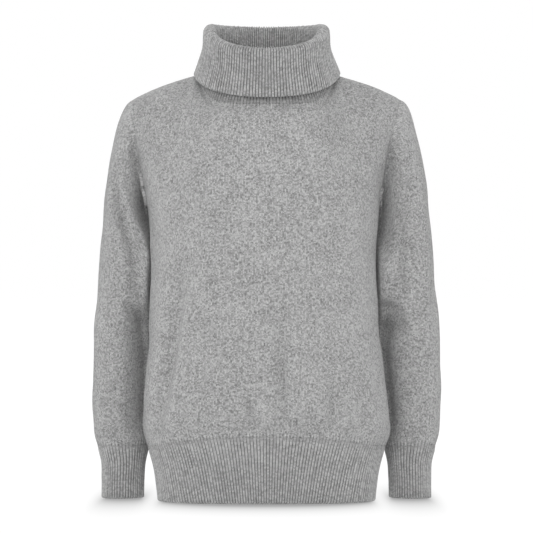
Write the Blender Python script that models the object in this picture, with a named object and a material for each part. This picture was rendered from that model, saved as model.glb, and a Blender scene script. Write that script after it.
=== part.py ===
"""Turtleneck sweater in fulled wool, filled out as if worn, with no wearer inside.

Nine pieces of cloth, each one closed wall: front, back, two sleeves, two ribbed cuffs, the ribbed
hem in two halves and the folded collar. Metres, +Z up, +X to the wearer's left, -Y to the front.
The origin is midway between the shoulder neck points, where the wearer's shoulders hold the sweater.

Every piece is first laid out as a grid of points on the outside of the cloth, in columns around the
garment and rows from its lower edge up. Neighbouring pieces share the points of their seam, so that
one set of normals, taken over the whole garment, gives every wall its thickness. Then each piece
draws back a little from its seams.
"""

import math
from typing import NamedTuple

import bpy
import numpy as np

# ---------------------------------------------------------------------------------------------
# Cloth
# ---------------------------------------------------------------------------------------------
WALL = 0.0030              # thickness of the fulled cloth
SEAM_GAP = 0.0003          # clear space between two pieces at a seam
RIB_RISE = 0.0013          # height of a rib above the groove beside it
SIDES = (("right", -1.0), ("left", 1.0))    # the wearer's sides, and the sign of x there

# ---------------------------------------------------------------------------------------------
# Fineness of the work
# ---------------------------------------------------------------------------------------------
CURVE_POINTS = 721         # points on a curve before it is divided evenly
SAME_POINT = 1.0e-6        # points nearer than this are one point of a seam
RIM_DIRECTION = np.array([1.0, 1.7, 2.3])   # rims are split from their lower end along this
CREASE_ANGLE = 50.0        # degrees between faces, from which an edge is sharp

# ---------------------------------------------------------------------------------------------
# Columns and rows of the grids
# ---------------------------------------------------------------------------------------------
SHOULDER_COLUMNS = 5       # columns along one shoulder seam
NECK_COLUMNS = 14          # columns along the neckline of one panel
PANEL_COLUMNS = NECK_COLUMNS + 2 * SHOULDER_COLUMNS
ARMHOLE_ROWS = 8           # rows of a panel beside the armhole
CAP_ROWS = 5               # rows of a sleeve from the armhole to its first level ring
HEM_RIBS_PER_COLUMN = 4
CUFF_RIBS_PER_COLUMN = 3
COLLAR_RIBS_PER_COLUMN = 5


# ---------------------------------------------------------------------------------------------
# Body below the armholes
# ---------------------------------------------------------------------------------------------
class TrunkSection(NamedTuple):
    """One section around the body."""

    height: float        # height at the side seams
    half_width: float
    middle: float        # x of the middle of the section
    side: float          # y of the side seams
    front: float         # depth of the front before the side seams
    back: float          # depth of the back behind the side seams
    front_rise: float    # how much higher the middle of the front is than the sides
    back_rise: float


BODY_SECTIONS = (
    #            height   half    middle    side    front    back   front   back rise
    TrunkSection(-0.5736, 0.1792, 0.0000, -0.0240, 0.1120, 0.1010, 0.0206, 0.0140),
    TrunkSection(-0.5645, 0.1826, 0.0000, -0.0240, 0.1165, 0.1040, 0.0190, 0.0130),
    TrunkSection(-0.5470, 0.1862, -0.0005, -0.0240, 0.1200, 0.1065, 0.0150, 0.0100),
    TrunkSection(-0.5190, 0.1854, -0.0010, -0.0230, 0.1215, 0.1070, 0.0080, 0.0050),
    TrunkSection(-0.4730, 0.1803, -0.0018, -0.0210, 0.1225, 0.1060, 0.0030, 0.0020),
    TrunkSection(-0.4200, 0.1750, -0.0030, -0.0180, 0.1245, 0.1050, 0.0000, 0.0000),
    TrunkSection(-0.3600, 0.1717, -0.0040, -0.0140, 0.1275, 0.1040, 0.0000, 0.0000),
    TrunkSection(-0.3000, 0.1707, -0.0040, -0.0100, 0.1305, 0.1030, 0.0000, 0.0000),
    TrunkSection(-0.2450, 0.1733, -0.0030, -0.0060, 0.1335, 0.1020, 0.0000, 0.0000),
    TrunkSection(-0.2070, 0.1775, 0.0000, -0.0020, 0.1355, 0.1000, 0.0000, 0.0000),
)
HEM_SECTIONS = (
    TrunkSection(-0.6540, 0.1666, 0.0000, -0.0245, 0.1055, 0.0985, 0.0010, 0.0000),
    TrunkSection(-0.6330, 0.1681, 0.0000, -0.0245, 0.1060, 0.0985, 0.0050, 0.0030),
    TrunkSection(-0.6020, 0.1727, 0.0000, -0.0245, 0.1075, 0.0990, 0.0120, 0.0080),
    BODY_SECTIONS[0],
)
TRUNK_ROUNDNESS = 2.3      # exponent of the body's sections: 2 is an ellipse, more is squarer

# ---------------------------------------------------------------------------------------------
# Shoulders, neckline and armholes
# ---------------------------------------------------------------------------------------------
NECK_HALF_WIDTH = 0.1010   # x of the shoulder neck point
NECK_SIDE = 0.0050         # y of the shoulder seam
NECK_TOP = -0.0075         # height of the shoulder neck point
NECK_FRONT_DEPTH = 0.1000
NECK_FRONT_DROP = 0.0575
NECK_BACK_DEPTH = 0.0570
NECK_BACK_DROP = 0.0060
NECK_CURVE = 1.4           # how softly the neckline leaves the shoulder neck point
NECK_ROUNDNESS = 2.55      # exponent of the neckline in plan
SHOULDER_TIP = (0.2030, 0.0050, -0.0450)
SHOULDER_CROWN = 0.0010    # how much the shoulder line arches between its ends
ARMHOLE_FRONT_DEPTH = 0.0520
ARMHOLE_BACK_DEPTH = 0.0590
UNDERARM_POINT = 0.6       # 0 for a round underarm, 1 for a pointed one
ARMHOLE_FLARE = 1.2        # how the armhole leans outward, exponent of the height along it
NECK_FULLNESS = 1.5        # exponent of the arch from chest to neckline
SHOULDER_FULLNESS = 2.2    # exponent of the arch from chest to shoulder tip
ARMHOLE_REACH = 0.55       # part of a half panel, from its side, that bends to the armhole
ARMHOLE_BEND = 1.5         # how that bend gathers towards the armhole, an exponent
CAP_FULLNESS = 1.6         # exponent of the arch from the armhole over the sleeve cap


# ---------------------------------------------------------------------------------------------
# Sleeves and cuffs
# ---------------------------------------------------------------------------------------------
class SleeveSection(NamedTuple):
    """One level section around a sleeve: an oval whose back leans in towards the body."""

    height: float
    outline: float       # x of the outermost point
    half_width: float
    slant: float         # how much further in its back is than its middle
    middle: float        # y of the middle of the section
    half_depth: float


SLEEVE_SECTIONS = (
    #             height   outline  half    slant   middle   half depth
    SleeveSection(-0.5736, 0.2582, 0.0396, 0.0040, 0.0380, 0.0420),
    SleeveSection(-0.5620, 0.2617, 0.0430, 0.0050, 0.0400, 0.0465),
    SleeveSection(-0.5410, 0.2636, 0.0440, 0.0060, 0.0420, 0.0495),
    SleeveSection(-0.4960, 0.2646, 0.0450, 0.0080, 0.0425, 0.0520),
    SleeveSection(-0.4500, 0.2643, 0.0460, 0.0100, 0.0425, 0.0540),
    SleeveSection(-0.4000, 0.2629, 0.0465, 0.0120, 0.0420, 0.0560),
    SleeveSection(-0.3450, 0.2598, 0.0465, 0.0140, 0.0400, 0.0575),
    SleeveSection(-0.2900, 0.2560, 0.0455, 0.0160, 0.0370, 0.0585),
    SleeveSection(-0.2370, 0.2513, 0.0395, 0.0210, 0.0260, 0.0600),
)
CUFF_SECTIONS = (
    SleeveSection(-0.6540, 0.2512, 0.0329, 0.0030, 0.0370, 0.0345),
    SleeveSection(-0.6250, 0.2511, 0.0333, 0.0030, 0.0370, 0.0350),
    SleeveSection(-0.5950, 0.2524, 0.0347, 0.0030, 0.0370, 0.0370),
    SLEEVE_SECTIONS[0],
)
SLEEVE_ROUNDNESS = 2.1


# ---------------------------------------------------------------------------------------------
# Collar
# ---------------------------------------------------------------------------------------------
class CollarRing(NamedTuple):
    """One ring of the collar, on the face of the cloth that is turned to the fold's inside."""

    drop: float          # how far below the top of the roll, at the sides
    dip: float           # how much further below it in the middle of the front and back
    half_width: float
    side: float          # y of its sides
    front: float
    back: float


ROLL_INNER_RADIUS = 0.0075
ROLL_DROP = ROLL_INNER_RADIUS + WALL       # middle of the roll below its top
ROLL_RING = CollarRing(ROLL_DROP, 0.0, 0.0868, -0.0075, 0.0770, 0.0765)   # middle line of the roll
ROLL_STEPS = 4
FLAP_RINGS = (
    #          drop    dip     half    side     front   back
    CollarRing(0.0355, 0.0025, 0.0957, -0.0095, 0.0893, 0.0838),
    CollarRing(0.0560, 0.0035, 0.1011, -0.0115, 0.0943, 0.0883),
    CollarRing(0.0745, 0.0040, 0.1065, -0.0130, 0.0983, 0.0943),
)
ROLL_FRONT_TOP = 0.0260    # height of the roll at the middle of the front
ROLL_BACK_TOP = 0.0674     # height of the roll at the back
ROLL_TILT = 0.0393         # rise of the roll from the middle of the front to the sides
ROLL_TURN = 0.0060         # how softly the tilted front meets the level back
COLLAR_ROUNDNESS = 2.15
COLLAR_RIB_SIDE = -1.0     # the ribs stand on the other face, the outer one once folded


# ---------------------------------------------------------------------------------------------
# Folds
# ---------------------------------------------------------------------------------------------
class Fold(NamedTuple):
    """A soft ridge (height above 0) or trough (below 0) along a line on a piece.

    Across is x on a panel. On a sleeve it is the angle around it in degrees, from 0 on the outer
    side over 90 in front to 180 beside the body, and -90 behind.
    """

    across_start: float
    height_start: float
    across_end: float
    height_end: float
    rise: float
    width: float


RIGHT_SLEEVE_FOLDS = (
    Fold(35.0, -0.110, 112.0, -0.285, 0.0040, 0.022),
    Fold(5.0, -0.170, 75.0, -0.310, -0.0050, 0.022),
    Fold(95.0, -0.345, 150.0, -0.420, -0.0080, 0.022),
    Fold(-60.0, -0.330, -140.0, -0.410, -0.0050, 0.022),
)
LEFT_SLEEVE_FOLDS = (
    Fold(92.0, -0.330, 150.0, -0.435, -0.0085, 0.022),
    Fold(-70.0, -0.320, -140.0, -0.420, -0.0050, 0.022),
)
FRONT_FOLDS = (
    Fold(0.024, -0.370, 0.026, -0.560, -0.0040, 0.014),
    Fold(-0.092, -0.400, -0.100, -0.560, -0.0035, 0.016),
    Fold(0.100, -0.470, 0.092, -0.560, -0.0035, 0.014),
)
BACK_FOLDS = (
    Fold(-0.030, -0.400, -0.026, -0.560, -0.0040, 0.016),
    Fold(0.075, -0.430, 0.080, -0.560, -0.0035, 0.015),
)


# ---------------------------------------------------------------------------------------------
# Curves
# ---------------------------------------------------------------------------------------------
def rounded(angle, roundness):
    """Return sine and cosine of an angle, bent to a superellipse of the given exponent."""
    sine = np.sin(angle)
    cosine = np.cos(angle)
    power = 2.0 / roundness
    return np.sign(sine) * np.abs(sine) ** power, np.sign(cosine) * np.abs(cosine) ** power


def evenly(points, count):
    """Return count + 1 points at even distances along a polyline."""
    steps = np.linalg.norm(np.diff(points, axis=0), axis=1)
    travelled = np.concatenate(([0.0], np.cumsum(steps)))
    wanted = np.linspace(0.0, travelled[-1], count + 1)
    return np.stack([np.interp(wanted, travelled, points[:, axis]) for axis in range(3)], axis=1)


def half_section(section, face):
    """Return the points of one half of a body section; face is -1 in front and 1 behind."""
    angle = np.linspace(-math.pi / 2, math.pi / 2, CURVE_POINTS)
    sine, cosine = rounded(angle, TRUNK_ROUNDNESS)
    depth = section.front if face < 0 else section.back
    rise = section.front_rise if face < 0 else section.back_rise
    x = section.middle - face * section.half_width * sine
    y = section.side + face * depth * cosine
    z = section.height + rise * np.cos(angle) ** 2
    return evenly(np.stack([x, y, z], axis=1), PANEL_COLUMNS)


def half_neckline(face):
    """Return the neckline of one panel, in the panel's order of columns."""
    angle = np.linspace(-math.pi / 2, math.pi / 2, CURVE_POINTS)
    sine, cosine = rounded(angle, NECK_ROUNDNESS)
    depth = NECK_FRONT_DEPTH if face < 0 else NECK_BACK_DEPTH
    drop = NECK_FRONT_DROP if face < 0 else NECK_BACK_DROP
    fall = np.sin(math.pi * cosine.clip(0.0, 1.0) / 2.0) ** NECK_CURVE
    x = -face * NECK_HALF_WIDTH * sine
    y = NECK_SIDE + face * depth * cosine
    z = NECK_TOP - drop * fall
    return evenly(np.stack([x, y, z], axis=1), NECK_COLUMNS)


def shoulder_seam(sign):
    """Return the shoulder seam from the tip to the neck point; sign is that of x."""
    share = np.linspace(0.0, 1.0, SHOULDER_COLUMNS + 1)[:, None]
    tip = np.array(SHOULDER_TIP)
    neck = np.array([NECK_HALF_WIDTH, NECK_SIDE, NECK_TOP])
    line = tip + (neck - tip) * share
    line[:, 2] += SHOULDER_CROWN * np.sin(math.pi * share[:, 0])
    line[:, 0] *= sign
    return line


def armhole_edge(sign, face):
    """Return one half of an armhole, from the underarm to the shoulder tip."""
    underarm = BODY_SECTIONS[-1]
    share = np.linspace(0.0, 1.0, ARMHOLE_ROWS + 1)
    low = np.array([underarm.middle + sign * underarm.half_width, underarm.side, underarm.height])
    tip = np.array(SHOULDER_TIP) * (sign, 1.0, 1.0)
    rounded_climb = (1.0 - np.cos(math.pi * share)) / 2.0
    pointed_climb = np.sin(math.pi * share / 2.0)
    climb = rounded_climb + UNDERARM_POINT * (pointed_climb - rounded_climb)
    depth = ARMHOLE_FRONT_DEPTH if face < 0 else ARMHOLE_BACK_DEPTH
    x = low[0] + (tip[0] - low[0]) * climb ** ARMHOLE_FLARE
    y = low[1] + (tip[1] - low[1]) * climb + face * depth * np.sin(math.pi * share)
    z = low[2] + (tip[2] - low[2]) * climb
    return np.stack([x, y, z], axis=1)


def arch(share, fullness):
    """Return how far along and how far up an arch has come that starts straight up."""
    power = 2.0 / fullness
    along = 1.0 - np.cos(math.pi * share / 2.0).clip(0.0) ** power
    upward = np.sin(math.pi * share / 2.0) ** power
    return along, upward


# ---------------------------------------------------------------------------------------------
# Grids: rows from the lower edge up, columns from left to right as seen from outside
# ---------------------------------------------------------------------------------------------
def panel_top(face):
    """Return the upper edge of a panel: shoulder seam, neckline, shoulder seam."""
    first = shoulder_seam(face)
    last = shoulder_seam(-face)[::-1]
    return np.concatenate([first[:-1], half_neckline(face), last[1:]])


def upper_panel(face):
    """Return the rows of a panel above the underarm level, without that level itself."""
    base = half_section(BODY_SECTIONS[-1], face)
    top = panel_top(face)
    place = np.abs(np.linspace(-1.0, 1.0, PANEL_COLUMNS + 1))
    from_neck = (place * PANEL_COLUMNS - NECK_COLUMNS) / (PANEL_COLUMNS - NECK_COLUMNS)
    fullness = NECK_FULLNESS + (SHOULDER_FULLNESS - NECK_FULLNESS) * smooth(from_neck)
    pull = ((place - 1.0 + ARMHOLE_REACH) / ARMHOLE_REACH).clip(0.0) ** ARMHOLE_BEND
    first_edge = armhole_edge(face, face)
    last_edge = armhole_edge(-face, face)
    half = PANEL_COLUMNS // 2
    rows = []
    for row in range(1, ARMHOLE_ROWS + 1):
        along, upward = arch(np.full(PANEL_COLUMNS + 1, row / ARMHOLE_ROWS), fullness)
        points = base + (top - base) * np.stack([along, along, upward], axis=1)
        correction = np.zeros_like(points)
        correction[:half] = first_edge[row] - points[0]
        correction[half:] = last_edge[row] - points[-1]
        rows.append(points + correction * pull[:, None])
    return np.array(rows)


def smooth(share):
    """Return the soft step of a share between 0 and 1."""
    share = np.clip(share, 0.0, 1.0)
    return share * share * (3.0 - 2.0 * share)


def panel_grid(face):
    """Return the points of the front panel (face -1) or the back panel (face 1)."""
    lower = np.array([half_section(section, face) for section in BODY_SECTIONS])
    return np.concatenate([lower, upper_panel(face)])


def hem_grid(face):
    """Return the points of one half of the ribbed hem."""
    return np.array([half_section(section, face) for section in HEM_SECTIONS])


def armhole_loop(sign):
    """Return the closed armhole in a sleeve's order of columns, which starts at the underarm."""
    front = armhole_edge(sign, -1.0)
    back = armhole_edge(sign, 1.0)
    if sign > 0:
        return np.concatenate([front[:-1], back[:0:-1]])
    return np.concatenate([back[:-1], front[:0:-1]])


def sleeve_ring(section, sign):
    """Return the points of one level section of a sleeve, starting beside the body.

    The body leans a little to one side. The sleeve there is as much narrower, the other one wider.
    """
    heights = [trunk.height for trunk in BODY_SECTIONS]
    lean = np.interp(section.height, heights, [trunk.middle for trunk in BODY_SECTIONS])
    half_width = section.half_width - sign * lean / 2.0
    columns = 2 * ARMHOLE_ROWS
    start = math.pi if sign > 0 else 0.0
    angle = start + np.linspace(0.0, 2.0 * math.pi, columns, endpoint=False)
    sine, cosine = rounded(angle, SLEEVE_ROUNDNESS)
    across = math.sqrt(half_width ** 2 - section.slant ** 2)
    x = sign * (section.outline - half_width - section.slant * sine) + across * cosine
    y = section.middle + section.half_depth * sine
    return np.stack([x, y, np.full(columns, section.height)], axis=1)


def sleeve_grid(sign):
    """Return the points of a sleeve, from the cuff seam up to the armhole.

    Above the first level ring each column arches outward from the armhole, or runs straight down
    where it lies beside the body.
    """
    rings = np.array([sleeve_ring(section, sign) for section in SLEEVE_SECTIONS])
    loop = armhole_loop(sign)
    run = rings[-1] - loop
    rows = []
    for row in range(1, CAP_ROWS + 1):
        share = 1.0 - row / CAP_ROWS
        down, outward = arch(np.full(len(loop), share), CAP_FULLNESS)
        sideways = np.where(sign * run[:, 0] > 0.0, outward, down)
        rows.append(loop + run * np.stack([sideways, outward, down], axis=1))
    return np.concatenate([rings, np.array(rows)])


def cuff_grid(sign):
    """Return the points of a ribbed cuff."""
    return np.array([sleeve_ring(section, sign) for section in CUFF_SECTIONS])


def roll_top(front_share):
    """Return the height of the roll; front_share is 1 at the middle of the front and -1 behind."""
    tilted = ROLL_FRONT_TOP + ROLL_TILT * (1.0 - front_share)
    level = np.full_like(tilted, ROLL_BACK_TOP)
    near = (ROLL_TURN - np.abs(tilted - level)).clip(0.0)
    return np.minimum(tilted, level) - near ** 2 / (4.0 * ROLL_TURN)


def collar_ring(ring):
    """Return the points of one ring of the collar, in the order of the neckline's columns."""
    halves = []
    for face, depth in ((-1.0, ring.front), (1.0, ring.back)):
        angle = np.linspace(-math.pi / 2, math.pi / 2, CURVE_POINTS)
        sine, cosine = rounded(angle, COLLAR_ROUNDNESS)
        x = -face * ring.half_width * sine
        y = ring.side + face * depth * cosine
        z = roll_top(-face * cosine) - ring.drop - ring.dip * np.cos(angle) ** 2
        halves.append(evenly(np.stack([x, y, z], axis=1), NECK_COLUMNS)[:-1])
    return np.concatenate(halves)


def collar_grid():
    """Return the points of the collar: band up from the neckline, roll, and flap down."""
    neckline = np.concatenate([half_neckline(-1.0)[:-1], half_neckline(1.0)[:-1]])
    rows = [neckline]
    for step in range(ROLL_STEPS + 1):
        turn = math.pi * step / ROLL_STEPS
        out = -ROLL_INNER_RADIUS * math.cos(turn)
        lift = ROLL_INNER_RADIUS * math.sin(turn)
        rows.append(collar_ring(CollarRing(
            ROLL_RING.drop - lift,
            ROLL_RING.dip,
            ROLL_RING.half_width + out,
            ROLL_RING.side,
            ROLL_RING.front + out,
            ROLL_RING.back + out,
        )))
    rows.extend(collar_ring(ring) for ring in FLAP_RINGS)
    return np.array(rows)


# ---------------------------------------------------------------------------------------------
# Folds laid into a grid
# ---------------------------------------------------------------------------------------------
def fold_height(across, height, scale, fold):
    """Return how much a fold raises the points at these places; scale is metres per unit across."""
    start = np.array([fold.across_start * scale, fold.height_start])
    run = np.array([fold.across_end * scale, fold.height_end]) - start
    length = np.linalg.norm(run)
    along = ((across * scale - start[0]) * run[0] + (height - start[1]) * run[1]) / length
    beside = ((across * scale - start[0]) * run[1] - (height - start[1]) * run[0]) / length
    past = np.maximum(np.maximum(-along, along - length), 0.0)
    return fold.rise * np.exp(-(beside ** 2 + past ** 2) / fold.width ** 2)


def with_panel_folds(grid, normals, folds):
    """Return a panel's grid with its folds, which leave the edges where they are."""
    rise = sum(fold_height(grid[..., 0], grid[..., 2], 1.0, fold) for fold in folds)
    rise[[0, -1]] = 0.0
    rise[:, [0, -1]] = 0.0
    return grid + normals * rise[..., None]


def with_sleeve_folds(grid, normals, sign, folds):
    """Return a sleeve's grid with its folds, which leave both its edges where they are."""
    outward = sign * normals[..., 0]
    angle = np.degrees(np.arctan2(-normals[..., 1], outward))
    girth = math.pi * (SLEEVE_SECTIONS[5].half_width + SLEEVE_SECTIONS[5].half_depth)
    rise = sum(fold_height(angle, grid[..., 2], girth / 360.0, fold) for fold in folds)
    rise[[0, -1]] = 0.0
    return grid + normals * rise[..., None]


# ---------------------------------------------------------------------------------------------
# Normals over the whole garment
# ---------------------------------------------------------------------------------------------
def own_normals(grid, closed):
    """Return the unit normals of one grid at its points, weighted by the area around each."""
    across = np.roll(grid, -1, axis=1) if closed else grid[:, 1:]
    current = grid if closed else grid[:, :-1]
    squares = np.cross(across[1:] - current[:-1], current[1:] - across[:-1])
    total = np.zeros_like(grid)
    width = squares.shape[1]
    columns = np.arange(width)
    following = (columns + 1) % grid.shape[1]
    for rows in (slice(0, -1), slice(1, None)):
        total[rows, columns] += squares
        total[rows, following] += squares
    return unit(total)


def point_keys(points):
    """Return a key for each point that is the same in every piece that has the point."""
    return [tuple(point) for point in np.round(points / SAME_POINT).astype(int).tolist()]


def welded_normals(grids):
    """Return unit normals for every grid, alike at the points that neighbours share.

    grids maps a name to its points and whether its columns close into a ring. At a seam the normal
    lies midway between those of the pieces that meet there. The underarm point, the top of a narrow
    groove between sleeve and body, faces straight down.
    """
    own = {name: own_normals(grid, closed) for name, (grid, closed) in grids.items()}
    keys = {name: point_keys(grid.reshape(-1, 3)) for name, (grid, _) in grids.items()}
    sums = {}
    for name in grids:
        for key, normal in zip(keys[name], own[name].reshape(-1, 3)):
            sums[key] = sums.get(key, 0.0) + normal
    for _, sign in SIDES:
        underarm = point_keys(armhole_loop(sign)[:1])[0]
        sums[underarm] = np.array([0.0, 0.0, -1.0])
    return {
        name: unit(np.array([sums[key] for key in keys[name]])).reshape(grid.shape)
        for name, (grid, _) in grids.items()
    }


# ---------------------------------------------------------------------------------------------
# Drawing back from the seams
# ---------------------------------------------------------------------------------------------
def inward_shift(loop, normals):
    """Return the shift of a closed edge, run with the piece on its left, off its seam."""
    ahead = np.roll(loop, -1, axis=0) - loop
    facing = np.roll(normals, -1, axis=0) + normals
    second = unit(np.cross(facing, ahead))
    first = np.roll(second, 1, axis=0)
    blend = 1.0 + np.sum(first * second, axis=1, keepdims=True)
    return 0.5 * SEAM_GAP * (first + second) / blend


def unit(vectors):
    """Return vectors of length 1."""
    return vectors / np.linalg.norm(vectors, axis=-1, keepdims=True)


def drawn_back(grid, normals, closed):
    """Return a grid whose edges have moved off their seams by half the seam gap."""
    moved = grid.copy()
    if closed:
        moved[0] += inward_shift(grid[0], normals[0])
        moved[-1] += inward_shift(grid[-1][::-1], normals[-1][::-1])[::-1]
        return moved
    rows, columns = grid.shape[:2]
    row = np.concatenate([
        np.zeros(columns - 1), np.arange(rows - 1),
        np.full(columns - 1, rows - 1), np.arange(rows - 1, 0, -1),
    ]).astype(int)
    column = np.concatenate([
        np.arange(columns - 1), np.full(rows - 1, columns - 1),
        np.arange(columns - 1, 0, -1), np.zeros(rows - 1),
    ]).astype(int)
    moved[row, column] += inward_shift(grid[row, column], normals[row, column])
    return moved


# ---------------------------------------------------------------------------------------------
# Walls
# ---------------------------------------------------------------------------------------------
def split_columns(values, parts, closed):
    """Return a grid with every column divided into straight parts."""
    following = np.roll(values, -1, axis=1) if closed else values[:, 1:]
    current = values if closed else values[:, :-1]
    share = (np.arange(parts) / parts)[None, None, :, None]
    fine = current[:, :, None] * (1.0 - share) + following[:, :, None] * share
    fine = fine.reshape(values.shape[0], -1, 3)
    if closed:
        return fine
    return np.concatenate([fine, values[:, -1:]], axis=1)


def grid_faces(points, first, closed):
    """Return the triangles of a grid of points, each square split at its shorter diagonal.

    first is the number of the grid's first vertex.
    """
    index = np.arange(points.shape[0] * points.shape[1]).reshape(points.shape[:2])
    right = np.roll(index, -1, axis=1) if closed else index[:, 1:]
    left = index if closed else index[:, :-1]
    squares = np.stack([left[:-1], right[:-1], right[1:], left[1:]], axis=-1).reshape(-1, 4)
    corners = points.reshape(-1, 3)[squares]
    rising = np.linalg.norm(corners[:, 2] - corners[:, 0], axis=1)
    falling = np.linalg.norm(corners[:, 3] - corners[:, 1], axis=1)
    split = (rising <= falling)[:, None]
    lower = np.where(split, squares[:, [0, 1, 2]], squares[:, [0, 1, 3]])
    upper = np.where(split, squares[:, [0, 2, 3]], squares[:, [1, 2, 3]])
    return (np.concatenate([lower, upper]) + first).tolist()


def rim_faces(outer, inner, seam, closed):
    """Return the faces of a rim, run with the piece on its left; one side may be finer.

    outer and inner are vertex numbers along the same edge, on the two faces of the cloth. seam holds
    the points of the seam itself, one to a column: both pieces at a seam split their rims alike.
    """
    count = len(seam) - (0 if closed else 1)
    outer_parts = (len(outer) - (0 if closed else 1)) // count
    inner_parts = (len(inner) - (0 if closed else 1)) // count
    rank = seam @ RIM_DIRECTION
    faces = []
    for column in range(count):
        upper = [outer[(column * outer_parts + step) % len(outer)] for step in range(outer_parts + 1)]
        lower = [inner[(column * inner_parts + step) % len(inner)] for step in range(inner_parts + 1)]
        if rank[column] < rank[(column + 1) % len(seam)]:
            faces.extend(strip_faces(upper, lower))
        else:
            faces.extend(face[::-1] for face in strip_faces(upper[::-1], lower[::-1]))
    return faces


def strip_faces(upper, lower):
    """Return triangles between two lines of vertex numbers that run side by side."""
    faces = [(upper[0], first, second) for first, second in zip(lower[:-1], lower[1:])]
    faces += [(second, first, lower[-1]) for first, second in zip(upper[:-1], upper[1:])]
    return faces


def cloth_wall(grid, normals, closed, ribs=0, rib_side=1.0):
    """Return vertices and faces of a wall of cloth whose outside is the grid.

    ribs is the number of ribs to a column, 0 for plain cloth; rib_side is 1 where they stand on the
    outside and -1 where they stand on the other face.
    """
    outside = drawn_back(grid, normals, closed)
    inside = outside - WALL * normals
    if ribs:
        parts = 2 * ribs
        face = outside if rib_side > 0 else inside
        raised = split_columns(face, parts, closed)
        direction = rib_side * split_columns(normals, parts, closed)
        on_rib = np.arange(raised.shape[1]) % 2
        raised = raised + direction * (RIB_RISE * on_rib)[None, :, None]
        if rib_side > 0:
            outside = raised
        else:
            inside = raised
    outer_index = np.arange(outside.shape[0] * outside.shape[1]).reshape(outside.shape[:2])
    inner_index = np.arange(inside.shape[0] * inside.shape[1]).reshape(inside.shape[:2])
    inner_index += outer_index.size
    faces = grid_faces(outside, 0, closed)
    faces += [face[::-1] for face in grid_faces(inside, outer_index.size, closed)]
    for row, turned in ((0, False), (-1, True)):
        rim = rim_faces(outer_index[row].tolist(), inner_index[row].tolist(), grid[row], closed)
        faces += [face[::-1] for face in rim] if turned else rim
    if not closed:
        for column, turned in ((0, True), (-1, False)):
            lines = outer_index[:, column].tolist(), inner_index[:, column].tolist()
            rim = rim_faces(*lines, grid[:, column], False)
            faces += [face[::-1] for face in rim] if turned else rim
    vertices = np.concatenate([outside.reshape(-1, 3), inside.reshape(-1, 3)])
    return vertices, faces


# ---------------------------------------------------------------------------------------------
# Materials
# ---------------------------------------------------------------------------------------------
def wool(name, grey):
    """Return a matt heather wool; grey is its linear reflectance."""
    material = bpy.data.materials.new(name)
    material.use_nodes = True
    shader = material.node_tree.nodes["Principled BSDF"]
    shader.inputs["Base Color"].default_value = (grey, grey, grey, 1.0)
    shader.inputs["Roughness"].default_value = 0.9
    shader.inputs["Metallic"].default_value = 0.0
    material.diffuse_color = (grey, grey, grey, 1.0)
    return material


# ---------------------------------------------------------------------------------------------
# The sweater
# ---------------------------------------------------------------------------------------------
def add_piece(name, wall, material):
    """Add one piece of cloth to the scene."""
    vertices, faces = wall
    mesh = bpy.data.meshes.new(name)
    mesh.from_pydata(vertices.tolist(), [], faces)
    mesh.validate()
    mesh.materials.append(material)
    mesh.shade_smooth()
    mesh.set_sharp_from_angle(angle=math.radians(CREASE_ANGLE))
    piece = bpy.data.objects.new(name, mesh)
    bpy.context.scene.collection.objects.link(piece)
    return piece


def garment_grids():
    """Return every piece's grid with its folds, and whether its columns close into a ring."""
    grids = {
        "front_panel": (panel_grid(-1.0), False),
        "back_panel": (panel_grid(1.0), False),
        "hem_rib_front": (hem_grid(-1.0), False),
        "hem_rib_back": (hem_grid(1.0), False),
        "collar": (collar_grid(), True),
    }
    for side, sign in SIDES:
        grids[f"{side}_sleeve"] = (sleeve_grid(sign), True)
        grids[f"{side}_cuff"] = (cuff_grid(sign), True)
    normals = welded_normals(grids)
    for name, folds in (("front_panel", FRONT_FOLDS), ("back_panel", BACK_FOLDS)):
        grids[name] = (with_panel_folds(grids[name][0], normals[name], folds), False)
    for (side, sign), folds in zip(SIDES, (RIGHT_SLEEVE_FOLDS, LEFT_SLEEVE_FOLDS)):
        name = f"{side}_sleeve"
        grids[name] = (with_sleeve_folds(grids[name][0], normals[name], sign, folds), True)
    return grids


def build_sweater():
    """Build the nine pieces."""
    grids = garment_grids()
    normals = welded_normals(grids)
    jersey = wool("jersey", 0.38)
    rib = wool("rib", 0.30)
    ribs = {
        "collar": (COLLAR_RIBS_PER_COLUMN, COLLAR_RIB_SIDE),
        "left_cuff": (CUFF_RIBS_PER_COLUMN, 1.0),
        "right_cuff": (CUFF_RIBS_PER_COLUMN, 1.0),
        "hem_rib_front": (HEM_RIBS_PER_COLUMN, 1.0),
        "hem_rib_back": (HEM_RIBS_PER_COLUMN, 1.0),
    }
    for name, (grid, closed) in grids.items():
        count, side = ribs.get(name, (0, 1.0))
        wall = cloth_wall(grid, normals[name], closed, count, side)
        add_piece(name, wall, rib if count else jersey)


def clear_scene():
    """Remove every object of the scene."""
    for item in list(bpy.data.objects):
        bpy.data.objects.remove(item, do_unlink=True)


def main():
    """Build the sweater in an empty scene."""
    clear_scene()
    build_sweater()


main()
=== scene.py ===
"""Turtleneck sweater in fulled heather wool: its cloth, yarn and light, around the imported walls.

Metres, +Z up, +X to the wearer's left, -Y to the front; the origin is midway between the shoulder
neck points. Every piece of cloth is laid out as a grid of points on its outside, in columns around
the garment and rows from its lower edge up. Neighbours share the points of their seam. Creases are
laid into the grids, one set of normals is taken over the whole garment, and each grid becomes a
closed wall with round edges, ribbed on both faces where it is rib knit.
"""

import logging
import math
from collections.abc import Iterator
from dataclasses import dataclass, field
from enum import Enum
from typing import NamedTuple

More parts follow.
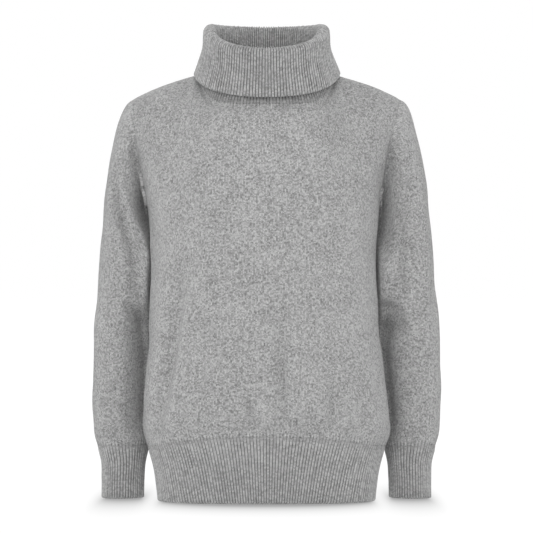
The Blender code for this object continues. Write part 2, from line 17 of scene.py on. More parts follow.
import bpy
import numpy as np
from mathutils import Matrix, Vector

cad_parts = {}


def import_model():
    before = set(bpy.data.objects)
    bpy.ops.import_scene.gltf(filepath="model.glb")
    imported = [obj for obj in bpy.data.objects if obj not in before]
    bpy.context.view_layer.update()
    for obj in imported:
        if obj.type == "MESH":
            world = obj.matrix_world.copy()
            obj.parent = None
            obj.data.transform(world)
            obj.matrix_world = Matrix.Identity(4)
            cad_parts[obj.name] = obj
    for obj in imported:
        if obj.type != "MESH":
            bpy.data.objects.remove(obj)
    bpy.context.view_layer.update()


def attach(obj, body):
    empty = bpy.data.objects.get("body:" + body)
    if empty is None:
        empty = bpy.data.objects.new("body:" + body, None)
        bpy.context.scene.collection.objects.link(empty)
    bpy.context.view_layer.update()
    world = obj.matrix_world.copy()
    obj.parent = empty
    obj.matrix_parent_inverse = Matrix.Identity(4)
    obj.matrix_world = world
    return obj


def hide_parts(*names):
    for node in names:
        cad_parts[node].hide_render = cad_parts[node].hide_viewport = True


LOG = logging.getLogger("sweater")
Array = np.ndarray
Socket = bpy.types.NodeSocket

# ------------------------------------------------------------
# Fineness of the grids
# ------------------------------------------------------------
SHOULDER_COLUMNS = 50      # columns along one shoulder seam
NECK_COLUMNS = 140         # columns along one half of the neckline
PANEL_COLUMNS = NECK_COLUMNS + 2 * SHOULDER_COLUMNS
ARMHOLE_ROWS = 40          # rows of a panel beside its armhole, and columns of half a sleeve
CURVE_POINTS = 721         # points on a curve before it is divided evenly
CREASE_POINTS = 8          # points that a crease's path has to each one given
VALLEY_POINTS = 12         # and a valley's line
SAME_POINT = 1.0e-6        # points nearer than this are one point of a seam
EASE_ROWS = 7              # rows beside a seam over which its bend is spread
EASE_PASSES = 40           # times that it is spread
UNDERARM_REACH = 0.035     # how far from an underarm point the seams keep their shape
RIM_ROWS = 3               # rows that carry a wall round its edge
BODY_PIECES = 4            # front, back and both halves of the hem, which come first
STILL_ROWS = 4.0           # rows beside a seam over which creases start
STILL_COLUMNS = 5.0        # columns beside one
GATHERED_SHARE = 1.0 / 12.0    # share of a panel's width over which gathers start at its sides
TAPER = 0.6                # how soon a crease swells from its ends: the lower, the sooner

# ------------------------------------------------------------
# Cloth
# ------------------------------------------------------------
WALL = 0.0030              # thickness of the fulled cloth
FREE_ROUND = 0.0016        # radius of a free edge
PANEL_KNIT = 0.500         # metres of knit across a panel
SLEEVE_GIRTH = 0.322       # metres round a sleeve at the elbow
HEM_RIBS = 96              # ribs of one half of the hem
CUFF_RIBS = 48
NECK_TAILS = 120           # ribs that run out into a panel from its neckline
KNIT_MAP = "knit"          # metres of knit across and up
SEAM_MAP = "seams"         # metres from the rib seams below and above


class Face(Enum):
    """The two halves of the body, with the sign of y on each."""

    FRONT = -1.0
    BACK = 1.0


class Side(Enum):
    """The wearer's two sides, with the sign of x on each."""

    RIGHT = -1.0
    LEFT = 1.0


class Edge(Enum):
    """What an edge of a piece meets, with the radius it is rounded by."""

    SEAM = 0.0
    FREE = FREE_ROUND


class TrunkSection(NamedTuple):
    """One section around the body."""

    height: float        # height at the side seams
    half_width: float
    middle: float        # x of the middle of the section
    side: float          # y of the side seams
    front: float         # depth of the front before the side seams
    back: float          # depth of the back behind the side seams
    front_rise: float    # how much higher the middle of the front is than the sides
    back_rise: float


class SleeveSection(NamedTuple):
    """One level section around a sleeve: an oval whose back leans in towards the body."""

    height: float
    outline: float       # x of the outermost point
    half_width: float
    slant: float         # how much further in its back is than its middle
    middle: float        # y of the middle of the section
    half_depth: float


class CollarRing(NamedTuple):
    """One ring of the collar, on the face of the cloth that is turned to the fold's inside."""

    drop: float          # how far below the top of the roll, at the sides
    dip: float           # how much further below it in the middle of the front and back
    half_width: float
    side: float          # y of its sides
    front: float
    back: float


class Crease(NamedTuple):
    """A soft ridge (rise above 0) or trough (below 0) along a curve on a piece.

    The path gives across and height of the points it passes. Across is x on a panel. On a sleeve it
    is the angle around it in degrees: 0 outside, 90 in front, 180 beside the body, -90 behind.
    """

    path: tuple[tuple[float, float], ...]
    rise: float
    width: float
    skew: float = 0.0    # above 0 where it is wider on the right of its path


# direction in radians, length in metres and share of the height of each wave of uneven cloth
SWELLS = ((0.3, 0.160, 1.0), (1.4, 0.103, 0.7), (2.5, 0.071, 0.5), (0.9, 0.047, 0.3))


# ------------------------------------------------------------
# Curves
# ------------------------------------------------------------
def rounded(angle: Array, roundness: float) -> tuple[Array, Array]:
    """Return sine and cosine of an angle, bent to a superellipse.

    Each keeps its sign, and its size is raised to 2 / roundness: 2 gives an ellipse, more is squarer.

    Args:
        angle: Angles in radians.
        roundness: The superellipse's exponent.

    Returns:
        The bent sine and the bent cosine.
    """
    power = 2.0 / roundness
    sine, cosine = np.sin(angle), np.cos(angle)
    return np.sign(sine) * np.abs(sine) ** power, np.sign(cosine) * np.abs(cosine) ** power


def smooth(share: Array) -> Array:
    """Return the soft step of a share: 3 s^2 - 2 s^3 between 0 and 1."""
    share = np.clip(share, 0.0, 1.0)
    return share * share * (3.0 - 2.0 * share)


def from_ends(count: int) -> Array:
    """Return how far each of a row of places is from the nearer end of the row."""
    return np.minimum(np.arange(count), np.arange(count)[::-1])


def unit(vectors: Array) -> Array:
    """Return vectors of length 1."""
    return vectors / np.linalg.norm(vectors, axis=-1, keepdims=True).clip(1.0e-12)


def evenly(curve: Array, count: int) -> Array:
    """Return points at even distances along a polyline.

    Args:
        curve: The polyline's points, one to a row.
        count: Into how many equal lengths it is divided.

    Returns:
        count + 1 points, the ends among them.
    """
    steps = np.linalg.norm(np.diff(curve, axis=0), axis=1)
    travelled = np.concatenate(([0.0], np.cumsum(steps)))
    wanted = np.linspace(0.0, travelled[-1], count + 1)
    return np.stack([np.interp(wanted, travelled, axis) for axis in curve.T], axis=1)


def through(knots: Array, values: Array, wanted: Array) -> Array:
    """Return values read from a smooth curve through knots.

    Between two knots the curve is a cubic. Its slope at a knot is that of the parabola through the
    knot and both its neighbours.

    Args:
        knots: Rising parameter of the knots.
        values: What the curve has at each knot, one row to a knot, of any shape.
        wanted: Parameters to read it at.

    Returns:
        One row of values to each wanted parameter.
    """
    slopes = np.gradient(values, knots, axis=0)
    place = np.clip(np.searchsorted(knots, wanted, side="right") - 1, 0, len(knots) - 2)
    shape = (-1,) + (1,) * (values.ndim - 1)
    run = (knots[place + 1] - knots[place]).reshape(shape)
    share = (wanted - knots[place]).reshape(shape) / run
    rest = 1.0 - share
    return (
        (1.0 + 2.0 * share) * rest**2 * values[place]
        + share * rest**2 * run * slopes[place]
        + share**2 * (3.0 - 2.0 * share) * values[place + 1]
        - share**2 * rest * run * slopes[place + 1]
    )


def arch(share: Array, fullness: Array | float) -> tuple[Array, Array]:
    """Return how far along and how far up an arch has come that starts straight up.

    With the angle going from 0 to a right angle, up is its sine and along is 1 less its cosine, each
    raised to 2 / fullness as on a superellipse.

    Args:
        share: Share of the way from 0 to 1.
        fullness: The superellipse's exponent.

    Returns:
        The shares along and upward.
    """
    power = 2.0 / fullness
    along = 1.0 - np.cos(math.pi * share / 2.0).clip(0.0) ** power
    return along, np.sin(math.pi * share / 2.0) ** power


def eased(points: Array, row: int, reach: int, margin: int) -> Array:
    """Return a grid whose bend at one row is spread over the rows near it.

    Every pass moves each point towards the mean of the points below and above it, most at the row and
    not at all beyond the reach or at the first and last column.

    Args:
        points: The grid.
        row: Number of the bent row.
        reach: Rows on each side over which the bend is spread.
        margin: Columns over which it fades to either side, 0 where the columns close into a ring.

    Returns:
        The eased grid.
    """
    rows, columns = points.shape[:2]
    weight = (1.0 - np.abs(np.arange(rows) - row) / reach).clip(0.0)[:, None, None]
    if margin:
        weight = weight * smooth(from_ends(columns) / margin)[None, :, None]
    for _ in range(2 * reach):
        middle = points.copy()
        middle[1:-1] = (points[:-2] + 2.0 * points[1:-1] + points[2:]) / 4.0
        points = points + (middle - points) * weight
    return points


def waves(across: Array, height: Array, size: float, phase: float) -> Array:
    """Return the slight unevenness of soft cloth.

    A sum of sine waves that run in different directions, with lengths from 47 to 160 mm of which
    none is a multiple of another.

    Args:
        across: Metres across the piece.
        height: Metres up the piece.
        size: Height of the longest wave.
        phase: Where the waves start, different for each piece.

    Returns:
        Metres that each point lies above the even cloth.
    """
    total = np.zeros(np.broadcast(across, height).shape)
    for turn, length, share in SWELLS:
        travelled = across * math.cos(turn) + height * math.sin(turn)
        total += share * np.sin(2.0 * math.pi * travelled / length + phase * (1.0 + turn))
    return size * total


# ------------------------------------------------------------
# Pieces of cloth
# ------------------------------------------------------------
@dataclass(frozen=True)
class Ribbing:
    """How a rib knit stands up from its cloth."""

    ribs: int                  # ribs across the piece, from its first column to its last
    parts: int                 # into how many parts a column is divided to carry them
    outer_rise: float = 0.0024
    inner_rise: float = 0.0018
    sunk: float = 0.62         # how much of a rib's height lies below the smooth cloth
    fullness: float = 2.0      # how broad a rib's crown is between its grooves
    fade: float = 0.0100       # metres from a seam over which the ribs rise
    unevenness: float = 0.16   # how much the ribs differ in height
    wander: float = 0.07       # how much a groove strays, in ribs
    # radians to a metre up the piece, and from one rib to the next, of each sine that it strays by
    strays: tuple[tuple[float, float], ...] = ((95.0, 2.4), (41.0, -1.1))


@dataclass
class Piece:
    """One cut piece of cloth on its grid, how it is knitted and finished, its flat size and how it is held.
    """

    name: str
    points: Array                  # outside of the cloth: rows, columns, xyz
    closed: bool                   # whether the columns close into a ring
    knit_width: float              # metres of knit from the first column to the last
    finish: "Knit"
    flat: tuple[float, float]      # flat width and length
    area: float | None             # flat area where the cut isn't a rectangle
    held: str
    lower: Edge = Edge.SEAM
    upper: Edge = Edge.SEAM
    ribbing: Ribbing | None = None
    ribs_above: tuple[int, int] | None = None    # first and last column that meet ribs at the top
    normals: Array = field(default_factory=lambda: np.zeros(0))

    def own_normals(self) -> Array:
        """Work out the normals at the grid's points.

        Each is the sum of the cross products of the diagonals of the squares around the point.

        Returns:
            Unit normals, one to a point.
        """
        grid = self.points
        across = np.roll(grid, -1, axis=1) if self.closed else grid[:, 1:]
        current = grid if self.closed else grid[:, :-1]
        squares = np.cross(across[1:] - current[:-1], current[1:] - across[:-1])
        total = np.zeros_like(grid)
        columns = np.arange(squares.shape[1])
        following = (columns + 1) % grid.shape[1]
        for rows in (slice(0, -1), slice(1, None)):
            total[rows, columns] += squares
            total[rows, following] += squares
        return unit(total)

    def gather(self, gathers: "Gathers", at_top: bool) -> None:
        """Pucker the cloth along its upper or lower edge, less towards its sides.

        Args:
            gathers: The puckers.
            at_top: Whether they start at the upper edge.
        """
        steps = np.linalg.norm(np.diff(self.points, axis=0), axis=2)
        length = np.concatenate([np.zeros((1, steps.shape[1])), np.cumsum(steps, axis=0)])
        off = length[-1:] - length if at_top else length
        columns = self.points.shape[1]
        share = np.arange(columns)[None, :] / (columns if self.closed else columns - 1)
        width = np.linalg.norm(np.diff(self.points[-1 if at_top else 0], axis=0), axis=1).sum()
        rise = gathers.rise(share * width, off)
        if not self.closed:
            rise = rise * smooth(np.minimum(share, 1.0 - share) / GATHERED_SHARE)
        self.points = self.points + self.normals * rise[..., None]

    def raise_by(self, rise: Array) -> None:
        """Move the grid outward, less and less towards its seams.

        Args:
            rise: Metres at each point.
        """
        rows, columns = self.points.shape[:2]
        keep = smooth(from_ends(rows)[:, None] / STILL_ROWS)
        if not self.closed:
            keep = keep * smooth(from_ends(columns)[None, :] / STILL_COLUMNS)
        self.points = self.points + self.normals * (rise * keep)[..., None]


def crease_height(across: Array, height: Array, scale: float, crease: Crease) -> Array:
    """Return how much a crease raises the points at these places.

    With the distance to the nearest point of its path, the rise falls off as the bell curve of
    distance over width. It swells from nothing at one end of the path and fades out at the other.

    Args:
        across: Where the points lie across the piece.
        height: Their height.
        scale: Metres to one unit across.
        crease: The crease.

    Returns:
        Metres to move each point outward.
    """
    corners = np.array(crease.path) * (scale, 1.0)
    share = np.linspace(0.0, len(corners) - 1.0, CREASE_POINTS * len(corners))
    line = through(np.arange(len(corners), dtype=float), corners, share)
    start, run = line[:-1], np.diff(line, axis=0)
    place = np.stack([across * scale, height], axis=-1)[..., None, :] - start
    along = (np.sum(place * run, axis=-1) / np.sum(run * run, axis=-1)).clip(0.0, 1.0)
    off = place - along[..., None] * run
    distance = np.linalg.norm(off, axis=-1)
    nearest = np.argmin(distance, axis=-1)[..., None]
    distance = np.take_along_axis(distance, nearest, axis=-1)[..., 0]
    turned = run[:, 0] * off[..., 1] - run[:, 1] * off[..., 0]
    right = -np.sign(np.take_along_axis(turned, nearest, axis=-1)[..., 0])
    travelled = (nearest[..., 0] + np.take_along_axis(along, nearest, axis=-1)[..., 0]) / len(run)
    taper = (4.0 * travelled * (1.0 - travelled)).clip(0.0) ** TAPER
    width = crease.width * (1.0 + crease.skew * right)
    return crease.rise * taper * np.exp(-((distance / width) ** 2))


@dataclass(frozen=True)
class Gathers:
    """Small puckers where loose cloth is drawn in along a seam."""

    pucker: float          # metres from one pucker to the next
    depth: float
    reach: float           # metres from the seam over which they fade
    phase: float
    # size, radians to a metre and share of the phase of each sine that crowds and spreads them
    crowding: tuple[tuple[float, float, float], ...] = ((1.1, 39.0, 1.0), (0.7, 91.0, -1.0))
    sharpness: float = 1.6     # how narrow a trough is
    unevenness: float = 0.4    # how much they differ in depth
    raggedness: float = 0.45   # and in how far they reach

    def rise(self, across: Array, off: Array) -> Array:
        """Return how much the gathers raise points.

        Narrow troughs where a sine of the way along the seam crosses zero. Slower sines crowd and
        spread them and change their depth, and all fade with the distance from the seam.

        Args:
            across: Metres along the seam.
            off: Metres from the seam.

        Returns:
            Metres to move each point outward, below 0 in a trough.
        """
        turn = math.pi * across / self.pucker + sum(
            size * np.sin(across * quick + share * self.phase) for size, quick, share in self.crowding
        )
        trough = (1.0 - np.abs(np.sin(turn))) ** self.sharpness
        level = 1.0 - self.unevenness + self.unevenness * np.sin(across * 53.0 + 2.0 * self.phase)
        length = self.reach * (1.0 + self.raggedness * np.sin(across * 127.0 + self.phase))
        return -self.depth * trough * level * np.exp(-((off / length) ** 2))


class Press(NamedTuple):
    """A place that a valley is pressed in by, on the line that it follows."""

    x: float
    height: float
    depth: float


@dataclass(frozen=True)
class Valley:
    """A trough between sleeve and body, pressed alike into the cloth that it crosses."""

    line: tuple[Press, ...]
    face: Face
    body_width: float      # how far it reaches on the side of the body
    sleeve_width: float    # how far on the side of the sleeve
    grip: float = 0.0      # how much cloth it takes along that doesn't face its way
    spares_body: bool = False    # whether it is pressed into the sleeve alone

    def shift(self, points: Array, normals: Array) -> Array:
        """Return how far the valley moves points.

        Straight in from its face, by the bell curve of the distance from its line over its width,
        and less where the cloth faces another way.

        Args:
            points: Points of the cloth.
            normals: Their unit normals.

        Returns:
            The move of each point.
        """
        table = np.array(self.line)
        share = np.linspace(0.0, len(table) - 1.0, VALLEY_POINTS * len(table))
        x, height, depth = through(np.arange(len(table), dtype=float), table, share).T
        off_x, off_height = points[..., :1] - x, points[..., 2:] - height
        distance = np.hypot(off_x, off_height)
        nearest = np.argmin(distance, axis=-1)[..., None]
        distance, off_x = (np.take_along_axis(part, nearest, axis=-1)[..., 0] for part in (distance, off_x))
        width = np.where(off_x * np.sign(x[0]) > 0.0, self.sleeve_width, self.body_width)
        facing = smooth(2.0 * self.face.value * normals[..., 1] + self.grip)
        pressed = depth[nearest[..., 0]] * np.exp(-((distance / width) ** 2)) * facing
        return pressed[..., None] * np.array((0.0, -self.face.value, 0.0))


def numbered(points: Array) -> Array:
    """Return a number for each point, the same for points that lie in one place."""
    keys = np.round(points / SAME_POINT).astype(np.int64)
    return np.unique(keys, axis=0, return_inverse=True)[1].reshape(-1)


def shared_out(values: Array, pieces: list[Piece]) -> Iterator[tuple[Piece, Array]]:
    """Share out what is strung together for all the pieces.

    Args:
        values: One row to a point of the pieces' grids, piece after piece.
        pieces: The pieces.

    Returns:
        Each piece with its own part, laid out on its grid.
    """
    first = 0
    for piece in pieces:
        rows, columns = piece.points.shape[:2]
        yield piece, values[first:first + rows * columns].reshape(rows, columns, *values.shape[1:])
        first += rows * columns


def ease_seams(pieces: list[Piece], underarms: Array) -> None:
    """Spread the bends of the cloth at its seams over the rows beside them.

    Every pass moves each point half of the way towards the mean of its neighbours on all the grids
    that it belongs to, times a weight that falls from 1 at a seam to 0 some rows away from it and
    near the underarms.

    Args:
        pieces: All the pieces of the garment.
        underarms: The two underarm points.
    """
    grids = [piece.points.reshape(-1, 3) for piece in pieces]
    place = numbered(np.concatenate(grids))
    points = np.zeros((place.max() + 1, 3))
    weight = np.zeros(len(points))
    points[place] = np.concatenate(grids)
    links = []
    for piece, index in shared_out(place, pieces):
        rows, columns = index.shape
        following = np.roll(index, -1, axis=1) if piece.closed else index[:, 1:]
        current = index if piece.closed else index[:, :-1]
        for one, other in ((index[:-1], index[1:]), (current, following)):
            links.append(np.stack([one, other]).reshape(2, -1))
        from_seam = np.full((rows, columns), float(EASE_ROWS))
        number = np.arange(rows)[:, None]
        if piece.lower is Edge.SEAM:
            from_seam = np.minimum(from_seam, number)
        if piece.upper is Edge.SEAM:
            from_seam = np.minimum(from_seam, rows - 1 - number)
        if not piece.closed:
            from_seam = np.minimum(from_seam, from_ends(columns)[None, :])
        np.maximum.at(weight, index, smooth(1.0 - from_seam / EASE_ROWS))
    away = np.linalg.norm(points[:, None] - underarms[None], axis=2).min(axis=1)
    weight *= smooth(away / UNDERARM_REACH)
    one, other = np.concatenate(links, axis=1)
    near = (weight[one] > 0.0) | (weight[other] > 0.0)
    one, other = one[near], other[near]
    count = np.bincount(one, minlength=len(points)) + np.bincount(other, minlength=len(points))
    for _ in range(EASE_PASSES):
        total = np.stack([
            np.bincount(one, axis[other], len(points)) + np.bincount(other, axis[one], len(points))
            for axis in points.T
        ], axis=1)
        mean = total / np.maximum(count, 1)[:, None]
        points += 0.5 * (mean - points) * (weight * (count > 0))[:, None]
    for piece, eased_points in shared_out(points[place], pieces):
        piece.points = eased_points


def weld(pieces: list[Piece], underarms: Array) -> None:
    """Give every piece its normals, alike at the points that neighbours share.

    At a seam the normal lies midway between those of the pieces that meet there. The underarm
    points, each the top of a narrow groove between sleeve and body, face straight down.

    Args:
        pieces: All the pieces of the garment.
        underarms: The two underarm points.
    """
    points = np.concatenate([piece.points.reshape(-1, 3) for piece in pieces] + [underarms])
    own = np.concatenate([piece.own_normals().reshape(-1, 3) for piece in pieces])
    place = numbered(points)
    total = np.zeros((place.max() + 1, 3))
    np.add.at(total, place[:len(own)], own)
    total[place[len(own):]] = (0.0, 0.0, -1.0)
    for piece, normals in shared_out(unit(total)[place], pieces):
        piece.normals = normals


# ------------------------------------------------------------
# Walls and meshes
# ------------------------------------------------------------
@dataclass
class WallMaker:
    """Turns a piece's grid into a closed wall of cloth and the wall into a mesh."""

    piece: Piece

    def divided(self, values: Array, parts: int) -> Array:
        """Divide every column of a grid into straight parts.

        Args:
            values: The grid, of points or of normals.
            parts: Into how many parts a column is divided.

        Returns:
            The finer grid.
        """
        following = np.roll(values, -1, axis=1) if self.piece.closed else values[:, 1:]
        current = values if self.piece.closed else values[:, :-1]
        share = (np.arange(parts) / parts)[None, None, :, None]
        fine = current[:, :, None] * (1.0 - share) + following[:, :, None] * share
        fine = fine.reshape(values.shape[0], -1, values.shape[2])
        return fine if self.piece.closed else np.concatenate([fine, values[:, -1:]], axis=1)

    def lengths(self, points: Array) -> Array:
        """Return each point's distance up its column from the lower edge."""
        steps = np.linalg.norm(np.diff(points, axis=0), axis=2)
        return np.concatenate([np.zeros((1, points.shape[1])), np.cumsum(steps, axis=0)])

    def from_ribs(self, length: Array) -> tuple[Array, Array]:
        """Measure how far the points lie from the rib seams below and above them.

        Beside the columns that meet ribs above, the distance grows by a stitch to a column.

        Args:
            length: Metres up the piece.

        Returns:
            The distances from the seam below and from the seam above, 1 where there is none.
        """
        piece = self.piece
        below = length if piece.lower is Edge.SEAM else np.ones_like(length)
        if piece.upper is Edge.FREE or piece.ribs_above is None:
            return below, np.ones_like(length)
        number = np.arange(length.shape[1])[None, :]
        first, last = piece.ribs_above
        beside = np.maximum(first - number, number - last).clip(0) * BODY_JERSEY.wale
        return below, length[-1:] - length + beside

    def rib_height(self, share: Array, length: Array, offset: float) -> Array:
        """Return the height of the ribs over the smooth cloth, in parts of a rib's height.

        One less the distance from the crown to a power, less the sunk part; grooves wander and ribs
        differ by slow sines of their number and of the length up the piece.

        Args:
            share: Share of the way across the piece.
            length: Metres up the piece.
            offset: Half a rib on one face against the other.

        Returns:
            The height at each point.
        """
        plan = self.piece.ribbing
        phase = share * plan.ribs + offset
        number = np.floor(phase)
        stray = sum(np.sin(length * quick + number * step) for quick, step in plan.strays)
        within = phase + 0.5 * plan.wander * stray - number
        crown = 1.0 - np.abs(2.0 * within - 1.0).clip(0.0, 1.0) ** plan.fullness
        level = 1.0 + plan.unevenness * np.sin(number * 12.9) * np.sin(number * 3.7 + length * 23.0)
        below, above = self.from_ribs(length)
        return (crown * level - plan.sunk) * smooth(np.minimum(below, above) / plan.fade)

    def rim(self, outer: Array, inner: Array, ahead: Array, radius: float) -> Array:
        """Carry the wall round an edge.

        A half ellipse: from the middle of the wall by the cosine towards the faces and by the sine,
        times the radius, ahead.

        Args:
            outer: Last row of the outside.
            inner: Last row of the inside.
            ahead: Unit vectors that point off the edge.
            radius: How far the rim stands off it.

        Returns:
            The rows between them, from outside to inside.
        """
        angle = math.pi * np.arange(1, RIM_ROWS + 1) / (RIM_ROWS + 1)
        middle, half = (outer + inner) / 2.0, (outer - inner) / 2.0
        turn = angle[:, None, None]
        return middle + half * np.cos(turn) + ahead * radius * np.sin(turn)

    def faces_of_cloth(self) -> tuple[Array, Array, Array]:
        """Lay the inside under the outside and raise the ribs on both faces.

        Returns:
            The outside, the inside and the metres up the piece.
        """
        piece = self.piece
        outer, normals = piece.points, piece.normals
        inner = outer - WALL * normals
        if piece.ribbing is None:
            return outer, inner, self.lengths(outer)
        parts = piece.ribbing.parts
        outer, inner, normals = (self.divided(part, parts) for part in (outer, inner, normals))
        length = self.lengths(outer)
        columns = outer.shape[1]
        share = np.arange(columns)[None, :] / (columns if piece.closed else columns - 1)
        outward = piece.ribbing.outer_rise * self.rib_height(share, length, 0.0)
        inward = piece.ribbing.inner_rise * self.rib_height(share, length, 0.5)
        return outer + normals * outward[..., None], inner - normals * inward[..., None], length

    def mesh(self) -> bpy.types.Mesh:
        """Make the wall a mesh.

        The rows run up the outside, over the upper edge, down the inside and under the lower edge,
        so that they close into a ring. Where the columns are open, both sides get a ridge of
        points midway between outside and inside.

        Returns:
            The mesh.
        """
        piece = self.piece
        outer, inner, length = self.faces_of_cloth()
        up = unit((outer[-1] - outer[-2]) + (inner[-1] - inner[-2]))
        down = unit((outer[0] - outer[1]) + (inner[0] - inner[1]))
        outer, inner = outer.copy(), inner.copy()
        for row, ahead, edge in ((-1, up, piece.upper), (0, down, piece.lower)):
            outer[row] -= ahead * edge.value
            inner[row] -= ahead * edge.value
        top = self.rim(outer[-1], inner[-1], up, piece.upper.value)
        bottom = self.rim(outer[0], inner[0], down, piece.lower.value)[::-1]
        loop = np.concatenate([outer, top, inner[::-1], bottom])
        rows, columns = loop.shape[:2]
        faces = self.at_corners(np.arange(rows * columns).reshape(rows, columns)).reshape(-1, 4).tolist()
        knit = np.stack([self.across(rows, columns), self.at_corners(self.round_wall(length))], axis=-1)
        seams = np.stack([self.at_corners(self.round_wall(part)) for part in self.from_ribs(length)], axis=-1)
        soft = np.ones(knit.shape[:2], dtype=bool)
        soft[len(outer) - 1:len(outer) + RIM_ROWS] = piece.upper is Edge.FREE
        soft[-RIM_ROWS - 1:] = piece.lower is Edge.FREE
        vertices = loop.reshape(-1, 3)
        maps = {KNIT_MAP: knit.reshape(-1, 2), SEAM_MAP: seams.reshape(-1, 2)}
        soft = soft.reshape(-1)
        for column, turned in () if piece.closed else ((0, False), (columns - 1, True)):
            ridge = (outer[:, column] + inner[:, column]) / 2.0
            closing = self.side_faces(len(outer), loop.shape, column, len(vertices))
            vertices = np.concatenate([vertices, ridge])
            faces += [face[::-1] for face in closing] if turned else closing
            soft = np.concatenate([soft, np.zeros(len(closing), dtype=bool)])
            bare = np.ones((sum(map(len, closing)), 2))
            maps = {name: np.concatenate([part, bare]) for name, part in maps.items()}
        return self.filled(vertices, faces, maps, soft)

    def round_wall(self, values: Array) -> Array:
        """Return values known up the outside on every row of the ring round the wall."""
        over, under = (np.repeat(row, RIM_ROWS, axis=0) for row in (values[-1:], values[:1]))
        return np.concatenate([values, over, values[::-1], under])

    def at_corners(self, values: Array) -> Array:
        """Read values at the four corners of each square of the ring of rows.

        Args:
            values: One value to a point of the ring.

        Returns:
            Rows, columns and the four corners of each square.
        """
        columns = values.shape[1]
        number = np.arange(columns + self.piece.closed)
        left, right = number[:-1], number[1:] % columns
        above = np.roll(values, -1, axis=0)
        return np.stack([values[:, left], values[:, right], above[:, right], above[:, left]], axis=-1)

    def across(self, rows: int, columns: int) -> Array:
        """Measure the knit across the piece at the squares' corners.

        The inside of rib knit is half a rib further on than its outside.

        Args:
            rows: Rows of the ring.
            columns: Its columns.

        Returns:
            Metres at the four corners of each square.
        """
        count = columns - 1 + self.piece.closed
        turned_over = np.arange(rows) >= (rows - RIM_ROWS) // 2
        shift = turned_over * (0.5 * self.piece.finish.wale if self.piece.ribbing else 0.0)
        width = self.piece.knit_width / count
        left = np.arange(count)[None, :] * width + shift[:, None]
        return np.stack([left, left + width, left + width, left], axis=-1)

    def side_faces(self, rows: int, shape: tuple[int, ...], column: int, first: int) -> list:
        """Return the faces that close the first column; turned over they close the last.

        Args:
            rows: Rows of one face of the cloth.
            shape: Shape of the ring of rows.
            column: Number of the column.
            first: Number of the first vertex of the ridge, one to a row.

        Returns:
            The faces, as lists of numbers of vertices.
        """
        index = np.arange(shape[0]) * shape[1] + column
        ridge = first + np.arange(rows)
        outer, inner = index[:rows], index[rows + RIM_ROWS:2 * rows + RIM_ROWS][::-1]
        strips = np.stack([outer[:-1], outer[1:], ridge[1:], ridge[:-1]], axis=1).tolist()
        strips += np.stack([inner[1:], inner[:-1], ridge[:-1], ridge[1:]], axis=1).tolist()
        over = index[rows - 1:rows + RIM_ROWS + 1]
        under = np.append(index[2 * rows + RIM_ROWS - 1:], index[0])
        for rim, tip in ((over, ridge[-1]), (under, ridge[0])):
            strips += np.stack([rim[:-1], rim[1:], np.full(len(rim) - 1, tip)], axis=1).tolist()
        return strips

    def filled(self, vertices: Array, faces: list, maps: dict[str, Array], soft: Array) -> bpy.types.Mesh:
        """Return a mesh of these vertices and faces.

        Args:
            vertices: Points.
            faces: Numbers of the vertices round each face.
            maps: UV maps by name.
            soft: Whether each face is shaded round.

        Returns:
            The mesh.
        """
        mesh = bpy.data.meshes.new(self.piece.name)
        mesh.from_pydata(vertices.tolist(), [], faces)
        for name, corners in maps.items():
            layer = mesh.uv_layers.new(name=name)
            layer.data.foreach_set("uv", corners.astype(np.float32).reshape(-1))
        mesh.polygons.foreach_set("use_smooth", soft)
        mesh.update()
        return mesh


def add_object(name: str, mesh: bpy.types.Mesh) -> bpy.types.Object:
    """Add an object to the scene.

    Args:
        name: Its name.
        mesh: What it shows.

    Returns:
        The object.
    """
    item = bpy.data.objects.new(name, mesh)
    bpy.context.scene.collection.objects.link(item)
    return item


